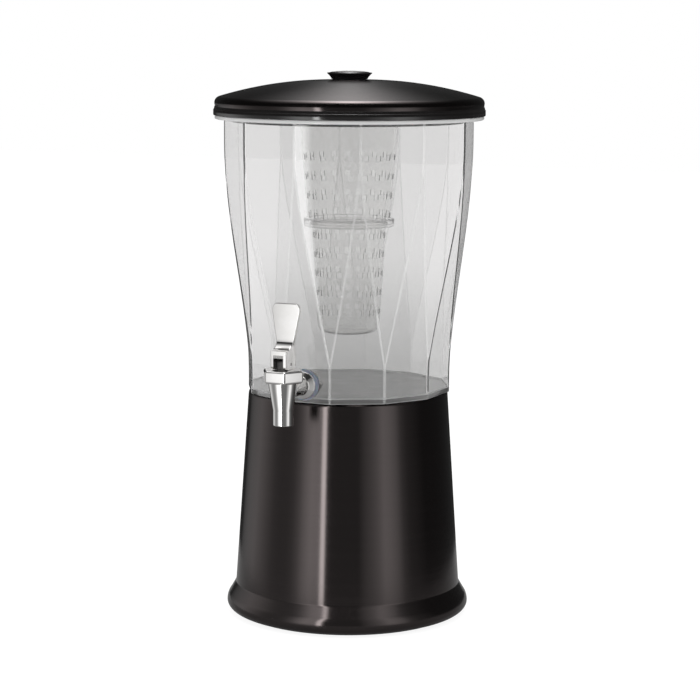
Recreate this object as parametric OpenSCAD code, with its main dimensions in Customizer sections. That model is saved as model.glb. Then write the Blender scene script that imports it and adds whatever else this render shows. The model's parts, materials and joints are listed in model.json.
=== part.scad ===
// Buffet beverage dispenser: a faceted clear container on a spun metal stand,
// with a lift-off lid that carries a two-piece infuser, and a self-closing tap.
// Millimetres, +Z up. The origin is on the axis, at the surface it stands on.
// The tap faces -Y.

/* [Stand] */
// Radius of the ring that the stand rests on
foot_r = 113; // [108:0.5:118]
// How far the rolled bead stands out past that ring
bead_out = 13.7; // [10:0.1:18]
// Height of the widest point of the bead
bead_z = 11; // [8:0.5:14]
// Radius of the upper round of the bead
bead_round = 16; // [13:0.5:18]
// Height where the bead meets the cone
bead_top_z = 31; // [28:0.5:36]
// Step from the bead in to the foot of the cone
bead_step = 9.3; // [7:0.1:12]
// Radius of the cone at the shoulder
cone_top_r = 104; // [100:0.5:110]
// Height of the ledge that carries the container
stand_h = 235; // [180:1:300]
// Radius of the rolled shoulder
shoulder_r = 4; // [2:0.5:8]
// Thickness of the spun sheet
sheet_t = 1.6; // [1:0.1:2.2]
// Width of the ledge, from the shoulder in to the locating hole
ledge_w = 16; // [12:0.5:24]
// Depth of the hem turned down round that hole
ledge_hem_h = 8; // [5:0.5:14]
// Width of the hem turned in under the bead
foot_hem_w = 5; // [4:0.5:8]

/* [Foot ring] */
// Thickness of the rubber under the hem
foot_t = 1.5; // [1:0.1:3]
// Height of the lip inside the hem
foot_lip_h = 5; // [4:0.5:8]
// Thickness of that lip
foot_lip_t = 2.4; // [1.5:0.1:4]
// Chamfer on the lower edges of the rubber
foot_chamfer = 0.6; // [0.2:0.1:0.9]

/* [Container] */
// Number of sides at the foot and at the rim
sides = 12; // [10:1:16]
// Corner radius of the outline at the foot
low_r = 106.3; // [102:0.1:110]
// Height of the straight foot, below the pointed facets
straight_low_h = 36; // [34:0.5:50]
// Height of the pointed facets
facet_h = 215; // [160:1:280]
// Height of the straight neck above the facets
straight_high_h = 28; // [16:1:40]
// How far below the facets the flare begins
flare_lead = 21; // [5:1:30]
// How far above the facets the flare ends
flare_lag = 9; // [0:1:15]
// How quickly the facets close toward the rim
facet_power = 1.45; // [1:0.05:2]
// Flat on each moulded edge
edge_flat = 0.9; // [0.5:0.1:2]
// Thickness of the wall
wall_t = 3.2; // [2.5:0.1:4]
// Thickness of the floor
floor_t = 4; // [3:0.5:6]
// Radius of the rim flange
rim_r = 138.5; // [134:0.5:139]
// Thickness of the rim flange
rim_t = 6; // [4:0.5:9]
// How far the rim stands out past the corners under it
rim_over = 9.5; // [6:0.5:14]
// Width of the rim, in to the round mouth
rim_w = 18; // [17.5:0.5:24]
// Depth of the locating skirt under the floor
skirt_h = 7; // [4:0.5:10]
// Thickness of the skirt
skirt_t = 3; // [2:0.5:4]
// Clearance of the skirt in the stand
skirt_gap = 2; // [0.5:0.1:3]

/* [Tap] */
// Height of the shank above the foot of the container
shank_up = 19; // [18.5:0.5:24]
// Distance of the spout from the container wall
tap_reach = 48.7; // [44:0.5:60]
// Radius of the shank
shank_r = 8; // [7:0.1:8.6]
// Radius of the water way in the shank
waterway_r = 5.4; // [4:0.1:5.6]
// Length of the shank past the nut
shank_end = 5; // [2:0.5:10]
// Radius of the neck between the barrel and the flange
neck_r = 9; // [8:0.1:11]
// Radius of the flange
flange_r = 14.2; // [12:0.1:15]
// Thickness of the flange rim
flange_t = 4; // [2:0.5:6]
// Length of the flare from the neck to the flange
flange_flare = 4; // [2:0.5:7]
// Radius of the outer washer
outer_washer_r = 16; // [14:0.5:17]
// Thickness of the outer washer
outer_washer_t = 3; // [2:0.5:4]
// Radius of the inner washer
inner_washer_r = 14; // [12:0.5:15]
// Thickness of the inner washer
inner_washer_t = 2.5; // [1.5:0.5:4]
// Width of the nut across its flats
nut_flats = 25; // [22:0.5:28]
// Thickness of the nut
nut_t = 8; // [6:0.5:12]
// Radius of the spout at its mouth
spout_r = 10.2; // [9:0.1:12]
// Radius of the barrel under the bonnet
barrel_r = 15; // [13.5:0.1:16]
// Drop of the spout mouth below the shank
spout_drop = 34; // [32:0.5:44]
// Length of the straight part of the spout
spout_straight = 15; // [8:0.5:20]
// Height of the top of the barrel above the shank
barrel_up = 9; // [7:0.5:12]
// Radius of the spout bore
spout_bore_r = 6.5; // [5:0.1:7]
// Radius of the valve chamber
chamber_r = 8.2; // [8:0.1:9]
// Depth of the valve seat below the shank
seat_drop = 11; // [9:0.5:12]
// Radius of the threaded spigot in the bonnet
spigot_r = 13; // [11.5:0.1:14]
// Height of that spigot
spigot_h = 8; // [5:0.5:9]
// Width of the bonnet across its flats
bonnet_flats = 38; // [34:0.5:42]
// Height of the bonnet
bonnet_h = 13; // [12:0.5:16]
// Rounding of the bonnet edges
bonnet_round = 3.2; // [1:0.1:4]

/* [Valve] */
// Radius of the stem
stem_r = 4; // [3:0.1:4.5]
// Radius of the silicone seat cup
cup_seal_r = 7.6; // [7.2:0.1:7.8]
// Thickness of the rim of the seat cup
cup_seal_t = 4; // [3:0.5:5]
// Height of the hub of the seat cup
cup_hub_h = 4; // [3:0.5:6]
// Length of the nose that enters the spout bore
cup_nose = 1.4; // [0.8:0.1:2]
// Radius of the spring wire
wire_r = 0.6; // [0.4:0.05:0.7]
// Number of spring turns
spring_turns = 6; // [4:1:8]

/* [Lever] */
// Height of the pin above the bonnet
pin_up = 5.4; // [5:0.1:7]
// Radius of the pin
pin_r = 1.6; // [1.2:0.1:2]
// Stem lift for each radian of lever tilt
cam_lift = 6; // [4:0.5:6.5]
// Tilt of the lever at full flow, degrees
lever_swing = 40; // [30:1:45]
// Width of the fork
fork_w = 17.2; // [15:0.2:20]
// Depth of the fork
fork_d = 22.4; // [21:0.2:26]
// Height of the fork front above the pin
fork_up = 13.6; // [12:0.2:18]
// Width of the slot in the fork
slot_w = 10.9; // [8:0.1:11.5]
// Height of the slot above the pin
slot_up = 9.6; // [7:0.2:10]
// Width of the paddle near its top
paddle_w = 30.6; // [24:0.2:36]
// Height of the paddle top above the pin
paddle_up = 59.6; // [50:0.2:75]
// Rounding of the top corners of the paddle
paddle_round = 6.5; // [3:0.5:10]
// Thickness of the paddle at its top
paddle_t = 2.8; // [2:0.1:4]
// Set-back of the paddle top behind the pin
paddle_back = 7.6; // [4:0.2:9]
// How far the paddle leans back from its waist to its top
paddle_lean = 2; // [0:0.2:4]
// Thickness of the paddle at its waist
waist_t = 5; // [4:0.2:7]
// Height of the curve from the fork front up to the paddle
ledge_curve_h = 12; // [8:0.5:20]
// Height of the shoulder behind the paddle
back_slope_h = 8; // [5:0.5:14]
// Height of the fork above its front ledge where the paddle starts to widen
paddle_start = 4; // [2:0.5:8]
// Bow of the sides of the paddle
paddle_bow = 1.15; // [1:0.05:2]
// Rounding of the back of the heel
heel_round = 3.8; // [2:0.1:4.6]

/* [Lid] */
// How far the moulded band stands out past the rim of the container
band_over = 1.5; // [0.5:0.1:4]
// Height of the band
band_h = 8.7; // [6:0.1:12]
// Step from the band in to the widest part of the dome
dome_in = 1.1; // [0.5:0.1:3]
// Height of the straight edge of the dome above the band
dome_skirt_h = 3.6; // [3:0.1:6]
// Taper of that edge
dome_skirt_in = 0.6; // [0:0.1:1.5]
// Rounding of the dome edge
dome_edge_r = 7; // [5:0.5:10]
// Rise of the dome over its edge
crown_h = 17.2; // [12:0.2:24]
// How flat the dome is near its middle
crown_power = 2.65; // [2:0.05:3]
// Radius of the flat pad under the knob
pad_r = 20; // [18:0.5:24]
// Thickness of the dome sheet
dome_t = 1.4; // [1:0.1:2]
// Thickness of the curb that centres the dome
curb_t = 5.4; // [3:0.1:7]
// Height of that curb above the band
curb_h = 2.6; // [1.5:0.1:2.8]
// Thickness of the moulding floor
moulding_t = 2.5; // [2:0.1:3]
// Depth of the plug in the mouth
plug_depth = 7; // [6:0.5:12]
// Thickness of the plug wall
plug_t = 2.4; // [2:0.1:3.5]
// Clearance of the plug in the mouth
plug_gap = 0.9; // [0.6:0.1:1.5]
// Height of the gasket on the plug
gasket_h = 3; // [2:0.2:4]
// Depth of the gasket groove
gasket_groove = 0.8; // [0.5:0.1:1]
// Clearance of the gasket in the mouth
gasket_gap = 0.3; // [0.2:0.1:0.5]
// Radius of the recess that takes the infuser
recess_r = 53.6; // [52:0.2:58]
// Height of the recess above the rim
recess_up = 12; // [11:0.5:13]
// Radius of the boss that takes the screw
boss_r = 7; // [5:0.5:10]

/* [Knob] */
// Radius of the foot of the knob
knob_low_r = 18.7; // [15:0.1:19]
// Radius of the rim of the knob
knob_high_r = 23.1; // [21.5:0.1:28]
// Height of the knob
knob_h = 6.4; // [6:0.1:9]
// Thickness of the knob rim above its flare
knob_rim_t = 0.8; // [0.4:0.1:1.5]
// Radius of the cap set into the knob
knob_cap_r = 20.6; // [18:0.1:21]
// Depth of the recess for the cap
knob_cap_depth = 1.2; // [0.8:0.1:1.6]
// Rise of the cap above the knob
knob_cap_rise = 1.8; // [1:0.1:3]
// Radius of the washer under the knob
knob_washer_r = 17.5; // [14:0.1:18]
// Thickness of that washer
knob_washer_t = 0.8; // [0.5:0.1:1.5]
// Radius of the screw
screw_r = 1.8; // [1.4:0.1:2.4]
// Radius of the screw head
screw_head_r = 4; // [3.5:0.1:6]
// Thickness of the screw head
screw_head_t = 2.6; // [2:0.1:3]
// How far the screw enters the knob
screw_grip = 4; // [3:0.1:4.5]

/* [Infuser] */
// Radius of the basket neck
neck_out_r = 50.4; // [49:0.1:50.6]
// Height of the basket neck above the rim
basket_up = 7; // [5:0.5:8]
// Length of the straight neck
basket_neck_h = 21; // [18:0.5:26]
// Radius of the basket above the collar
basket_low_r = 42.8; // [42.5:0.1:46]
// Length of the tapered part of the basket
basket_taper_h = 92; // [88:1:130]
// Thickness of the basket wall
basket_t = 2; // [1.6:0.1:2.2]
// Radius of the collar
collar_r = 46.6; // [45:0.2:50]
// Height of the collar
collar_h = 8; // [6:0.5:12]
// Thickness of the lip that carries the cup
cup_lip_t = 3; // [2:0.5:4]
// Radius of the cup under its flange
cup_top_r = 38.4; // [37:0.1:38.6]
// Radius of the cup above its rounded foot
cup_low_r = 32; // [28:0.2:35]
// Length of the cup below its flange
cup_h = 114; // [110:1:140]
// Rounding of the foot of the cup
cup_round = 9; // [6:0.5:12]
// Thickness of the cup wall
cup_t = 1.8; // [1.4:0.1:2]
// Thickness of the cup flange
cup_flange_t = 2.5; // [1.5:0.1:3]
// Overlap of the cup flange on its lip
cup_flange_in = 1.6; // [1:0.1:1.8]
// Number of holes in each row
hole_columns = 20; // [16:2:24]
// Width of a hole
hole_w = 5.2; // [4:0.1:6]
// Height of a hole
hole_h = 5.7; // [4:0.1:7]
// Number of rows in the basket
basket_rows = 4; // [2:1:4]
// Number of rows in the cup
cup_rows = 5; // [2:1:5]
// Distance between rows
row_pitch = 19.8; // [18:0.1:20]
// Lowest row above the collar
basket_first_row = 4.2; // [4:0.1:8]
// Lowest row above the foot of the cup
cup_first_row = 22.8; // [16:0.1:24]
// Number of bayonet lugs
lugs = 3; // [2:1:4]
// Width of a lug, degrees
lug_angle = 44; // [24:1:50]
// Width of a ledge under a lug, degrees
ledge_angle = 50; // [30:1:55]
// Thickness of the lugs and ledges
lug_t = 3; // [2:0.1:3.5]
// Clearance of the lugs in the recess
lug_gap = 0.6; // [0.4:0.1:0.9]

/* [Fits] */
// Clearance between pieces that slip together and stay
slip = 0.12; // [0.1:0.01:0.2]
// Clearance of the lever on its pin
pin_fit = 0.06; // [0.03:0.01:0.1]
// Clearance under pieces that hang or turn on a seat
seat_gap = 0.3; // [0.2:0.05:0.4]
// Clearance round pieces that lift out
lift_gap = 0.4; // [0.3:0.05:0.6]

/* [Hidden] */
$fn = 96;
arc_steps = 8;
crown_steps = 14;
facet_steps = 12;
cam_steps = 7;
wire_sides = 6;
turn_steps = 10;
over = 1;
hex_half = 30;
lever_steps = 8;

// Heights in the assembled dispenser
container_h = straight_low_h + facet_h + straight_high_h + rim_t;
rim_z = stand_h + container_h;
shank_z = stand_h + shank_up;
spout_z = shank_z - spout_drop;
seat_z = shank_z - seat_drop;
barrel_z = shank_z + barrel_up;
bonnet_z = barrel_z + bonnet_h;
pin_z = bonnet_z + pin_up;
roof_z = barrel_z + spigot_h + slip;
band_z = rim_z + band_h;
dome_edge_z = band_z + dome_skirt_h;
recess_z = rim_z + recess_up;
plug_z = rim_z - plug_depth;
basket_top_z = rim_z + basket_up;
neck_z = basket_top_z - basket_neck_h;
taper_z = neck_z - basket_taper_h;
collar_z = taper_z - collar_h;
cup_seat_z = collar_z + cup_lip_t;
cup_flange_z = cup_seat_z + seat_gap;
cup_z = cup_flange_z - cup_h;

// Radii that follow from the foot, the shoulder and the rim
bead_r = foot_r + bead_out;
cone_low_r = bead_r - bead_step;
ledge_hole_r = cone_top_r - ledge_w;
high_r = rim_r - rim_over;
mouth_r = rim_r - rim_w;
band_r = rim_r + band_over;
dome_r = band_r - dome_in;

// Container outline
side_half = 180 / sides;
rim_base_h = container_h - rim_t;
facet_top_h = straight_low_h + facet_h;
flare_start = straight_low_h - flare_lead;
flare_end = facet_top_h + flare_lag;
wall_in = wall_t / cos(side_half);

// Tap positions along Y, from the spout axis to the nut
wall_y = -facet_y(low_r);
wall_in_y = -facet_y(low_r - wall_in);
tap_y = wall_y - tap_reach;
flange_y = wall_y - outer_washer_t;
nut_y = wall_in_y + inner_washer_t;
shank_end_y = nut_y + nut_t + shank_end;

// Lever geometry, measured from the pin
heel = pin_up - seat_gap;
tang_w = slot_w - 2 * seat_gap;
tang_r = pin_up - 2 * seat_gap;

// Dome geometry
crown_slope = atan(crown_power * crown_h / dome_r);
crown_r = dome_r - dome_edge_r * (1 - sin(crown_slope));
crown_edge_z = dome_edge_z + dome_edge_r * cos(crown_slope);
apex_z = crown_edge_z + crown_h;
knob_z = apex_z + knob_washer_t;

// Bayonet geometry
ledge_in_r = neck_out_r + lug_gap;
ledge_z = plug_z + lug_t - over;
lug_z = ledge_z + lug_t + seat_gap;
lug_pitch = 360 / lugs;

// Points along an arc from angle a0 to a1; rx and ry may differ
function arc(c, rx, ry, a0, a1) =
    [for (i = [0:arc_steps])
        let (a = a0 + (a1 - a0) * i / arc_steps)
        [c[0] + rx * cos(a), c[1] + ry * sin(a)]];

function unit(v) = v / norm(v);

function reverse(p) = [for (i = [len(p) - 1:-1:0]) p[i]];

// Normal on the right of a step from a to b
function right_of(a, b) = let (d = unit(b - a)) [d[1], -d[0]];

// A path moved to its left by t, with mitred corners
function moved_in(p, t) =
    let (last = len(p) - 1)
    [for (i = [0:last])
        let (
            n0 = right_of(p[max(i, 1) - 1], p[max(i, 1)]),
            n1 = right_of(p[min(i, last - 1)], p[min(i, last - 1) + 1]),
            m = unit(n0 + n1)
        )
        p[i] - t * m / (m * n0)];

// A sheet of thickness t on the left of a path
function sheet(p, t) = concat(p, reverse(moved_in(p, t)));

function smooth(u) = let (v = min(max(u, 0), 1)) v * v * (3 - 2 * v);

// Half angle of the flat on an edge of the container
function flat_half(r) = asin(edge_flat / 2 / r);

// Distance of a side from the axis, at corner radius r
function facet_y(r) = r * cos(side_half - flat_half(r));

// Corner radius of the container at height h above its foot
function corner_r(h) =
    h <= straight_low_h
        ? low_r
        : low_r + (high_r - low_r) * smooth((h - flare_start) / (flare_end - flare_start));

// Angle by which each corner has split at height h
function split(h) =
    let (t = min(max((h - straight_low_h) / facet_h, 0), 1))
    side_half * (1 - pow(1 - t, facet_power));

// One outline of the container, with two points for each corner of the foot
function outline(h, inset) =
    let (
        r = corner_r(h) - inset,
        a = min(max(split(h), flat_half(r)), side_half - flat_half(r))
    )
    [for (k = [0:sides - 1])
        for (s = [-1, 1])
            let (g = side_half * (2 * k + 1) + s * a - 90)
            [r * cos(g), r * sin(g), h]];

// The faceted body of the container, inset from its outer face, between two heights
module faceted(inset, h0, h1) {
    steps = [for (i = [0:facet_steps]) straight_low_h + facet_h * i / facet_steps];
    heights = concat([h0], steps, [h1]);
    n = 2 * sides;
    top = (len(heights) - 1) * n;
    points = [for (h = heights) each outline(h, inset)];
    walls = [for (j = [0:len(heights) - 2])
        for (i = [0:n - 1])
            let (
                a = j * n + i,
                b = j * n + (i + 1) % n
            )
            each [[a, a + n, b + n], [a, b + n, b]]];
    floor_face = [for (i = [0:n - 1]) i];
    top_face = [for (i = [n - 1:-1:0]) top + i];
    polyhedron(points, concat([floor_face], walls, [top_face]));
}

// A plain ring on the axis
module ring(r_in, r_out, z0, z1) {
    rotate_extrude()
        translate([r_in, z0])
            square([r_out - r_in, z1 - z0]);
}

// A plain round on the axis of the shank, from y0 to y1
module shank_round(r, y0, y1) {
    translate([0, y0, shank_z])
        rotate([-90, 0, 0])
            cylinder(h = y1 - y0, r = r);
}

// A round across the tap at the height of the pin
module pin_round(r, w) {
    translate([-w / 2, tap_y, pin_z])
        rotate([0, 90, 0])
            cylinder(h = w, r = r);
}

// Rows of square holes through a round wall
module square_holes(rows, first_z, reach) {
    for (row = [0:rows - 1])
        for (i = [0:hole_columns / 2 - 1])
            rotate([0, 0, (i + 0.5) * 360 / hole_columns])
                translate([-reach, -hole_w / 2, first_z + row * row_pitch - hole_h / 2])
                    cube([2 * reach, hole_w, hole_h]);
}

// Arcs of a ring, spread round the axis
module ring_arcs(r_in, r_out, z0, z1, angle) {
    for (i = [0:lugs - 1])
        rotate([0, 0, i * lug_pitch - angle / 2])
            rotate_extrude(angle = angle)
                translate([r_in, z0])
                    square([r_out - r_in, z1 - z0]);
}

// Stand: a spun bell with a rolled bead, a straight cone and a ledge
module base_shell() {
    hem_r = foot_r - foot_hem_w;
    round_c = bead_r - bead_round;
    round_a = asin((bead_top_z - bead_z) / bead_round / 2);
    path = concat(
        [[hem_r, foot_t]],
        arc([foot_r, bead_z], bead_r - foot_r, bead_z - foot_t, -90, 0),
        arc([round_c, bead_z], bead_round, bead_round, round_a / arc_steps, round_a),
        [[cone_low_r, bead_top_z]],
        arc([cone_top_r - shoulder_r, stand_h - shoulder_r], shoulder_r, shoulder_r, 0, 90),
        [[ledge_hole_r, stand_h], [ledge_hole_r, stand_h - ledge_hem_h]]
    );
    color("#2e292a")
        rotate_extrude()
            polygon(sheet(path, sheet_t));
}

// Rubber ring pressed in behind the hem of the stand
module foot_ring() {
    out_r = foot_r - foot_hem_w - slip;
    in_r = out_r - foot_lip_t;
    color("#1a1a1a")
        rotate_extrude()
            polygon([
                [in_r, foot_chamfer],
                [in_r + foot_chamfer, 0],
                [foot_r - foot_chamfer, 0],
                [foot_r, foot_chamfer],
                [foot_r, foot_t],
                [out_r, foot_t],
                [out_r, foot_lip_h],
                [in_r, foot_lip_h]
            ]);
}

// Clear container: corners of the foot split in two and meet again under the rim
module container() {
    skirt_r = ledge_hole_r - skirt_gap;
    color("#dfe5e8", 0.4)
        difference() {
            translate([0, 0, stand_h]) {
                faceted(0, 0, rim_base_h + rim_t / 2);
                ring(mouth_r, rim_r, rim_base_h, container_h);
                ring(skirt_r - skirt_t, skirt_r, -skirt_h, floor_t / 2);
            }
            translate([0, 0, stand_h])
                faceted(wall_in, floor_t, rim_base_h);
            translate([0, 0, rim_z - rim_t - over])
                cylinder(h = rim_t + 2 * over, r = mouth_r);
            shank_round(shank_r + slip, wall_y - over, wall_in_y + over);
        }
}

// Translucent washer between the flange and the wall
module outer_washer() {
    color("#c9d6ea", 0.7)
        difference() {
            shank_round(outer_washer_r, flange_y, wall_y);
            shank_round(shank_r + slip, flange_y - over, wall_y + over);
        }
}

// Washer between the wall and the nut
module inner_washer() {
    color("#c9d6ea", 0.7)
        difference() {
            shank_round(inner_washer_r, wall_in_y, nut_y);
            shank_round(shank_r + slip, wall_in_y - over, nut_y + over);
        }
}

// Nut that pulls the tap against the wall
module shank_nut() {
    color("#c8c8c8")
        difference() {
            translate([0, nut_y, shank_z])
                rotate([-90, 0, 0])
                    cylinder(h = nut_t, r = nut_flats / 2 / cos(hex_half), $fn = 6);
            shank_round(shank_r + slip, nut_y - over, nut_y + nut_t + over);
        }
}

// Tap barrel with its spout, neck, flange and shank
module faucet_body() {
    straight_z = spout_z + spout_straight;
    flare_y = flange_y - flange_t - flange_flare;
    color("#d8d8d8")
        difference() {
            union() {
                translate([0, tap_y, 0])
                    rotate_extrude()
                        polygon([
                            [0, spout_z], [spout_r, spout_z], [spout_r, straight_z],
                            [barrel_r, barrel_z], [spigot_r, barrel_z],
                            [spigot_r, barrel_z + spigot_h], [0, barrel_z + spigot_h]
                        ]);
                shank_round(neck_r, tap_y, flange_y);
                translate([0, flare_y, shank_z])
                    rotate([-90, 0, 0])
                        cylinder(h = flange_flare, r1 = neck_r, r2 = flange_r);
                shank_round(flange_r, flange_y - flange_t, flange_y);
                shank_round(shank_r, flange_y - over, shank_end_y);
            }
            translate([0, tap_y, spout_z - over])
                cylinder(h = spout_drop + over, r = spout_bore_r);
            translate([0, tap_y, seat_z])
                cylinder(h = bonnet_z - seat_z, r = chamber_r);
            shank_round(waterway_r, tap_y, shank_end_y + over);
        }
}

// Hexagonal bonnet that closes the valve chamber and guides the stem
module bonnet_nut() {
    corner = bonnet_flats / 2 / cos(hex_half);
    low = barrel_z + bonnet_round;
    high = bonnet_z - bonnet_round;
    inner = corner - bonnet_round;
    color("#d8d8d8")
        translate([0, tap_y, 0])
            difference() {
                intersection() {
                    translate([0, 0, barrel_z])
                        cylinder(h = bonnet_h, r = corner, $fn = 6);
                    rotate_extrude()
                        polygon(concat(
                            [[0, barrel_z]],
                            arc([inner, low], bonnet_round, bonnet_round, -90, 0),
                            arc([inner, high], bonnet_round, bonnet_round, 0, 90),
                            [[0, bonnet_z]]
                        ));
                }
                translate([0, 0, barrel_z - over])
                    cylinder(h = roof_z - barrel_z + over, r = spigot_r + slip);
                translate([0, 0, roof_z - over])
                    cylinder(h = bonnet_z - roof_z + 2 * over, r = stem_r + seat_gap);
            }
}

// Compression spring that closes the valve, one wire swept along a helix
module valve_spring() {
    z0 = seat_z + cup_seal_t + wire_r + slip;
    rise = roof_z - wire_r - slip - z0;
    r = (stem_r + chamber_r) / 2 + wire_r / 2;
    rings = spring_turns * turn_steps;
    points = [for (i = [0:rings])
        let (a = i * 360 / turn_steps)
        for (j = [0:wire_sides - 1])
            let (
                b = j * 360 / wire_sides,
                d = r + wire_r * cos(b)
            )
            [d * cos(a), d * sin(a), z0 + rise * i / rings + wire_r * sin(b)]];
    walls = [for (i = [0:rings - 1])
        for (j = [0:wire_sides - 1])
            let (
                a = i * wire_sides + j,
                b = i * wire_sides + (j + 1) % wire_sides
            )
            each [[a, b, b + wire_sides], [a, b + wire_sides, a + wire_sides]]];
    start = [for (j = [wire_sides - 1:-1:0]) j];
    end = [for (j = [0:wire_sides - 1]) rings * wire_sides + j];
    color("#b0b0b0")
        translate([0, tap_y, 0])
            polyhedron(points, concat([start], walls, [end]));
}

// Stem with a flat tang that the lever straddles
module valve_stem() {
    foot_z = seat_z + cup_seal_t - over;
    color("#c0c0c0")
        difference() {
            union() {
                translate([0, tap_y, foot_z])
                    cylinder(h = pin_z - foot_z, r = stem_r);
                pin_round(tang_r, tang_w);
                translate([-tang_w / 2, tap_y - tang_r, bonnet_z + seat_gap])
                    cube([tang_w, 2 * tang_r, pin_z - bonnet_z - seat_gap]);
            }
            pin_round(pin_r + pin_fit / 2, tang_w + 2 * over);
        }
}

// Silicone cup on the foot of the stem, which closes the spout bore
module seat_cup() {
    top_z = seat_z + cup_seal_t;
    hub_r = stem_r + over;
    nose_r = spout_bore_r - seat_gap;
    color("#e8e8e8")
        translate([0, tap_y, 0])
            difference() {
                rotate_extrude()
                    polygon([
                        [0, seat_z - cup_nose], [nose_r - cup_nose / 2, seat_z - cup_nose],
                        [nose_r, seat_z], [cup_seal_r, seat_z], [cup_seal_r, top_z],
                        [hub_r, top_z], [hub_r, top_z + cup_hub_h], [0, top_z + cup_hub_h]
                    ]);
                translate([0, 0, top_z - over])
                    cylinder(h = cup_hub_h + 2 * over, r = stem_r + slip / 2);
            }
}

// Pin that the lever turns on
module lever_pin() {
    color("#b8b8b8")
        pin_round(pin_r, fork_w - 2 * seat_gap);
}

// Point of the cam heel that touches the bonnet at a tilt of a degrees
function cam_point(a) =
    let (h = heel + cam_lift * a * PI / 180)
    [-h * sin(a) - cam_lift * cos(a), -h * cos(a) + cam_lift * sin(a)];

// Middle and half thickness of the paddle at height z over the pin
function paddle_down(z) = (paddle_up - z) / (paddle_up - fork_up);
function paddle_mid(z) = paddle_back - paddle_lean * paddle_down(z);
function paddle_half(z) = (paddle_t + (waist_t - paddle_t) * paddle_down(z)) / 2;

// Side view of the lever: a cam heel that lifts the stem at an even rate as the
// lever comes forward, a fork with a ledge, and a thin paddle set back
module lever_side() {
    front = -fork_d / 2;
    back = fork_d / 2;
    curve_z = fork_up + ledge_curve_h;
    slope_z = fork_up + back_slope_h;
    curve_y = paddle_mid(curve_z) - paddle_half(curve_z);
    slope_y = paddle_mid(slope_z) + paddle_half(slope_z);
    tip_r = paddle_t / 2;
    cam = [for (i = [cam_steps:-1:0]) cam_point(lever_swing * i / cam_steps)];
    polygon(concat(
        [[front, cam[0][1] + over]],
        cam,
        arc([back - heel_round, heel_round - heel], heel_round, heel_round, -90, 0),
        [[back, fork_up], [slope_y, slope_z]],
        arc([paddle_back, paddle_up - tip_r], tip_r, tip_r, 0, 180),
        arc([front, curve_z], curve_y - front, ledge_curve_h, 0, -90)
    ));
}

// Front view of the lever: a straight fork that flares into the paddle
module lever_front() {
    half_fork = fork_w / 2;
    half_top = paddle_w / 2;
    low_z = fork_up + paddle_start;
    high_z = paddle_up - paddle_round;
    side = [for (i = [0:lever_steps])
        let (
            u = i / lever_steps,
            spread = 1 - pow(1 - u, paddle_bow)
        )
        [half_fork + (half_top - half_fork) * spread, low_z + (high_z - low_z) * u]];
    corner = arc([half_top - paddle_round, high_z], paddle_round, paddle_round, 90 / arc_steps, 90);
    right = concat([[half_fork, -heel - over]], side, corner);
    left = [for (p = reverse(right)) [-p[0], p[1]]];
    polygon(concat(right, left));
}

// Cast lever: the side view and the front view cut from one block
module tap_lever() {
    color("#dcdcdc")
        difference() {
            translate([0, tap_y, pin_z])
                intersection() {
                    rotate([90, 0, 90])
                        translate([0, 0, -paddle_w])
                            linear_extrude(2 * paddle_w)
                                lever_side();
                    rotate([90, 0, 0])
                        translate([0, 0, -fork_d])
                            linear_extrude(2 * fork_d)
                                lever_front();
                }
            translate([-slot_w / 2, tap_y - fork_d, pin_z - pin_up])
                cube([slot_w, 2 * fork_d, pin_up + slot_up]);
            pin_round(pin_r + pin_fit, fork_w + 2 * over);
        }
}

// Lid moulding: the band, the floor with its plug, and the recess for the infuser
module lid_moulding() {
    plug_r = mouth_r - plug_gap;
    floor_z = rim_z + moulding_t;
    curb_r = dome_r - dome_skirt_in - dome_t - slip;
    band_in = curb_r - curb_t;
    curb_z = band_z + curb_h;
    boss_z = apex_z - dome_t;
    cup_r = recess_r + plug_t;
    groove_z = plug_z + (plug_depth - gasket_h) / 2;
    color("#1c1a1b")
        difference() {
            union() {
                rotate_extrude()
                    polygon([
                        [screw_r + slip, recess_z], [recess_r, recess_z], [recess_r, plug_z],
                        [cup_r, plug_z], [cup_r, rim_z],
                        [plug_r - plug_t, rim_z], [plug_r - plug_t, plug_z],
                        [plug_r, plug_z], [plug_r, rim_z], [band_r, rim_z], [band_r, band_z],
                        [curb_r, band_z], [curb_r, curb_z], [band_in, curb_z], [band_in, floor_z],
                        [cup_r, floor_z], [cup_r, recess_z + moulding_t],
                        [boss_r, recess_z + moulding_t], [boss_r, boss_z], [screw_r + slip, boss_z]
                    ]);
                ring_arcs(ledge_in_r, recess_r + over, ledge_z, ledge_z + lug_t, ledge_angle);
            }
            ring(plug_r - gasket_groove, plug_r + over, groove_z, groove_z + gasket_h);
        }
}

// Gasket in the groove of the plug
module lid_gasket() {
    plug_r = mouth_r - plug_gap;
    groove_z = plug_z + (plug_depth - gasket_h) / 2;
    color("#c9d6ea", 0.8)
        ring(plug_r - gasket_groove + slip / 2, mouth_r - gasket_gap, groove_z + slip / 2,
            groove_z + gasket_h - slip / 2);
}

// Spun dome over the moulding
module lid_dome() {
    edge_c = [dome_r - dome_edge_r, dome_edge_z];
    crown = [for (i = [1:crown_steps])
        let (
            u = 1 - i / crown_steps,
            r = pad_r + (crown_r - pad_r) * u
        )
        [r, apex_z - crown_h * pow(u, crown_power)]];
    path = concat(
        [[dome_r - dome_skirt_in, band_z]],
        arc(edge_c, dome_edge_r, dome_edge_r, 0, 90 - crown_slope),
        crown,
        [[screw_r + slip, apex_z]]
    );
    color("#2e292a")
        rotate_extrude()
            polygon(sheet(path, dome_t));
}

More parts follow.
